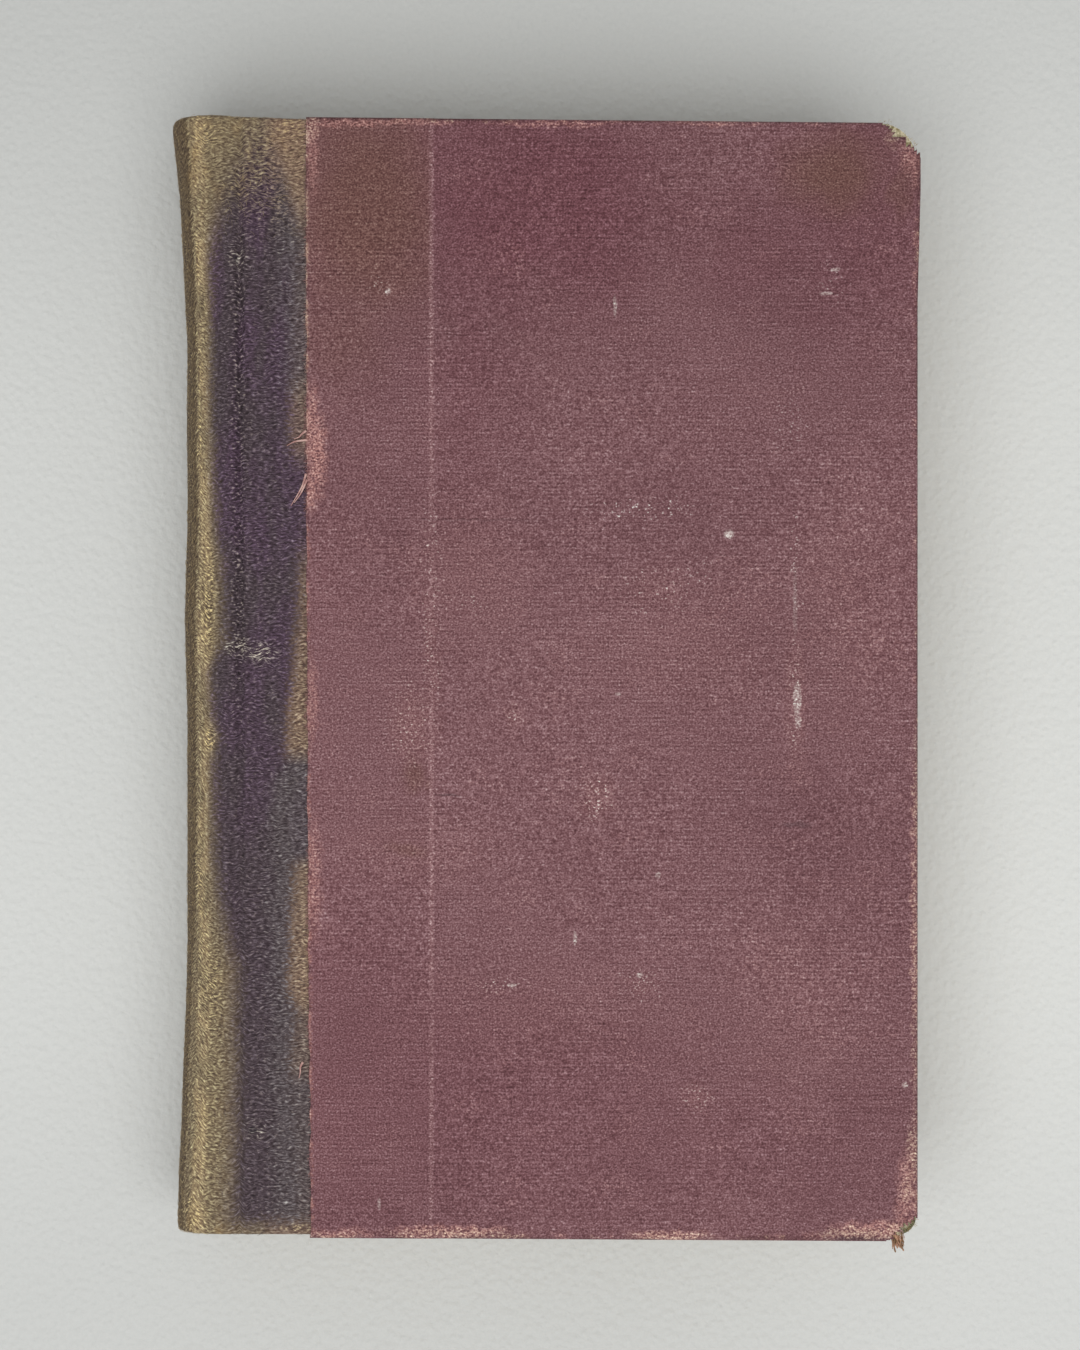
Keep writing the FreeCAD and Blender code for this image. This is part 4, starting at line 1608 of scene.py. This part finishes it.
pink_thread = make_thread_finish("pink_thread", shade(178, 134, 130), shade(150, 104, 104))
pale_thread = make_thread_finish("pale_thread", shade(190, 164, 152), shade(150, 124, 118))
tan_thread = make_thread_finish("tan_thread", shade(206, 190, 156), shade(160, 140, 100))


def grow_threads(name, roots, body, finish, length, thickness, turn, spread, seed):
    """Strands on a list of local places."""
    mesh = bpy.data.meshes.new(name)
    mesh.from_pydata([tuple(local_to_world(*root)) for root in roots], [], [])
    values = {
        "Length": length * MM, "Thickness": thickness * MM, "Turn": turn, "Spread": spread,
        "Seed": seed, "Material": finish,
    }
    threads = run_tree(name, strand_tree, values, mesh)
    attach(threads, body)
    print(name, count_triangles(threads), "triangles")


# %% Threads along the seam, the edges and the corners
rng = np.random.default_rng(12)


def seam_roots(count, rows, sink=0.12):
    """Roots along the cut edge, in stretches given as photograph rows."""
    roots = []
    for top_row, bottom_row, share in rows:
        high_y, low_y = on_cover(0, top_row)[1], on_cover(0, bottom_row)[1]
        for y in rng.uniform(low_y, high_y, int(count * share)):
            x = float(seam_x(np.array(y)))
            roots.append((x + rng.uniform(0.0, 0.25), y, top_z - sink - rng.uniform(0.0, 0.2)))
    return roots


whole_seam = [(122, 1236, 0.55), (395, 515, 0.25), (680, 735, 0.08), (850, 940, 0.12)]
head_seam = [(119, 420, 1.0)]
grow_threads(
    "seam_threads", seam_roots(520, whole_seam), "front_cover", pink_thread, 0.8, 0.05,
    (0.0, 0.0, math.pi), (0.25, 0.35, 1.1), 3,
)
grow_threads(
    "seam_threads_pale", seam_roots(260, head_seam), "front_cover", pale_thread, 0.7, 0.05,
    (0.0, 0.0, math.pi), (0.25, 0.35, 1.3), 4,
)


def corner_roots(side_sign, end, side, count):
    """Roots along the worn line of a corner, on the face and down the edge."""
    along_end, along_edge = corner_wear[(side, end)][1:]
    corner_y = cloth_high[1] if end > 0 else cloth_low[1]
    roots = []
    for _ in range(count):
        share = rng.uniform(0.02, 0.98)
        back_from_line = rng.uniform(0.7, 1.02)
        x = cloth_high[0] - along_end * share * back_from_line - 0.15
        y = corner_y - end * (along_edge * (1 - share) * back_from_line + 0.15)
        height = board_high[2] + rng.uniform(-0.1, 0.35)
        roots.append((x, y, side_sign * height))
    return roots


for side, side_sign in sides:
    for end_name, end in ends:
        grow_threads(
            f"corner_threads_{side}_{end_name}", corner_roots(side_sign, end, side, 80),
            f"{side}_cover", tan_thread, 0.6, 0.045,
            (0.0, 0.2, end * math.pi / 4), (0.6, 0.3, 0.9), 7 + end,
        )

# %% [markdown]
# ## Loose threads and a torn tuft
# A few long threads hang from the frayed patch beside the spine. Each has its own
# path, so each is drawn as a curve with a round section and then made a plain
# mesh. The tuft that hangs off the tail corner grows from the same tree as before.

# %% Loose threads drawn one by one
# Column and row in the photograph, and millimetres above the cover
loose_threads = {
    "loose_thread_upper": [(307, 440, 0.35), (300, 441, 0.8), (293, 442, 0.7), (287, 446, 0.25)],
    "loose_thread_upper_twin": [(306, 431, 0.35), (302, 434, 0.7), (299, 438, 0.5), (294, 439, 0.2)],
    "loose_thread_lower": [(306, 474, 0.35), (304, 484, 0.9), (298, 495, 0.8), (291, 506, 0.3)],
    "loose_thread_lower_twin": [(307, 480, 0.35), (304, 488, 1.0), (300, 496, 0.7), (294, 503, 0.35)],
    "loose_thread_tail": [(303, 1062, 0.3), (300, 1066, 0.6), (301, 1072, 0.5), (299, 1078, 0.3)],
}
loose_thread_radius = 0.28
fray_thread = make_thread_finish("fray_thread", shade(208, 172, 162), shade(178, 134, 128))


def draw_thread(name, places, radius, finish, body):
    """A tapered tube through local places in millimetres."""
    curve = bpy.data.curves.new(name, "CURVE")
    curve.dimensions = "3D"
    curve.bevel_depth = radius * MM
    curve.bevel_resolution = 1
    curve.resolution_u = 8
    curve.use_fill_caps = True
    spline = curve.splines.new("NURBS")
    spline.points.add(len(places) - 1)
    for k, place in enumerate(places):
        spline.points[k].co = (*local_to_world(*place), 1.0)
        spline.points[k].radius = 1.0 - 0.75 * k / (len(places) - 1)
    spline.order_u = 3
    spline.use_endpoint_u = True
    obj = bpy.data.objects.new(name, curve)
    bpy.context.scene.collection.objects.link(obj)
    graph = bpy.context.evaluated_depsgraph_get()
    mesh = bpy.data.meshes.new_from_object(obj.evaluated_get(graph))
    bpy.data.objects.remove(obj)
    thread = link_mesh(name, mesh, finish)
    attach(thread, body)


for name, route in loose_threads.items():
    places = [(*on_cover(px, py), turn_z + lift) for px, py, lift in route]
    draw_thread(name, places, loose_thread_radius, fray_thread, "front_cover")
print("loose threads", len(loose_threads))


def tuft_roots(count):
    """Roots of the torn tuft that hangs off the tail edge near the corner."""
    roots = []
    for _ in range(count):
        x, y = on_cover(rng.uniform(892, 903), rng.uniform(1232, 1240))
        roots.append((x, y, top_z - rng.uniform(0.3, 1.2)))
    return roots


tuft_strands = 46
pale_strands = ((901, 1226), (902, 1229), (903, 1232))
tuft_brown = make_thread_finish("tuft_brown", shade(196, 152, 124), shade(140, 108, 78))
grow_threads(
    "torn_tuft", tuft_roots(tuft_strands), "front_cover", tuft_brown, 2.5, 0.2,
    (0.0, 0.25, -math.pi / 2), (0.5, 0.25, 0.25), 21,
)
grow_threads(
    "torn_tuft_pale", [(*on_cover(*pixel), top_z - 0.1) for pixel in pale_strands],
    "front_cover", pale_thread, 2.6, 0.14, (0.0, 0.1, -math.pi / 2), (0.1, 0.1, 0.2), 22,
)

# %% [markdown]
# ## Finishes on the carried-over solids
# The boards, tips, papers, linings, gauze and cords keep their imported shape.
# Each gets its finish by its name.

# %% Assign the finishes
finish_by_word = [
    ("board", board_finish), ("corner_tip", tip_finish), ("pastedown", endpaper_finish),
    ("flyleaf", endpaper_finish), ("mull", gauze_finish), ("cord", cord_finish),
    ("spine_lining", lining_finish), ("spine_inlay", lining_finish),
]
for node_name, solid in nodes.items():
    for word, finish in finish_by_word:
        if word in node_name:
            solid.data.materials.clear()
            solid.data.materials.append(finish)
            break
print("dressed", len(nodes), "solids")

# %% [markdown]
# ## Floor and light
# A pale floor and one broad soft lamp towards the tail of the book, with an even
# sky. The lamp stands low enough for the book's soft shadow to fall beyond its
# head, as in the photograph.

# %% Floor, lamp and sky
floor_reach = 3.0
floor_dim = shade(209, 211, 208)
floor_pale = shade(219, 220, 217)
# Painted light falloff on the floor: painted shade towards the head and tail, painted light towards the
# right
ends_painted_shade = 0.13
right_painted_light = 0.08
lamp_place = (-0.02, -0.38, 0.92)
lamp_size = (1.3, 0.7)
lamp_watts = 6.5
sky_strength = 0.52

floor_mesh = bpy.data.meshes.new("floor")
corners = [(x * floor_reach, y * floor_reach, 0) for x, y in ((-1, -1), (1, -1), (1, 1), (-1, 1))]
floor_mesh.from_pydata(corners, [], [(0, 1, 2, 3)])
floor = bpy.data.objects.new("floor", floor_mesh)
bpy.context.scene.collection.objects.link(floor)
floor_finish = Finish("pale_floor")
grain = floor_finish.noise(1.0, 2.0, rough=0.6)
sockets = {"Vector": floor_finish.place, "Scale": 0.62, "Randomness": 1.0}
pebble = floor_finish.start.make("ShaderNodeTexVoronoi", {"feature": "SMOOTH_F1"}, sockets)
floor_colour = floor_finish.mix(grain, floor_dim, floor_pale)
# The floor's colour is painted darker towards the head and tail and lighter to the right, as painted light
# falloff
shade_towards_ends = floor_finish.y.away_from(0.0).over(50.0, 160.0)
light_towards_right = floor_finish.x.over(70.0, 170.0)
painted_light_falloff = 1.0 - shade_towards_ends * ends_painted_shade + light_towards_right * right_painted_light
floor_colour = floor_finish.lighten(floor_colour, painted_light_falloff)
floor_mesh.materials.append(floor_finish.done(floor_colour, 0.6, pebble * -1.0 + grain * 0.5, 0.6, 0.4))

lamp_data = bpy.data.lights.new("soft_lamp", "AREA")
lamp_data.shape = "RECTANGLE"
lamp_data.size, lamp_data.size_y = lamp_size
lamp_data.energy = lamp_watts
lamp = bpy.data.objects.new("soft_lamp", lamp_data)
bpy.context.scene.collection.objects.link(lamp)
lamp.location = lamp_place
lamp.rotation_euler = (-lamp.location).to_track_quat("-Z", "Y").to_euler()

world = bpy.data.worlds.new("sky")
bpy.context.scene.world = world
world.use_nodes = True
world.node_tree.nodes["Background"].inputs["Color"].default_value = (1.0, 1.0, 1.0, 1.0)
world.node_tree.nodes["Background"].inputs["Strength"].default_value = sky_strength
bpy.context.scene.view_settings.view_transform = "Standard"
print("lamp and sky set")
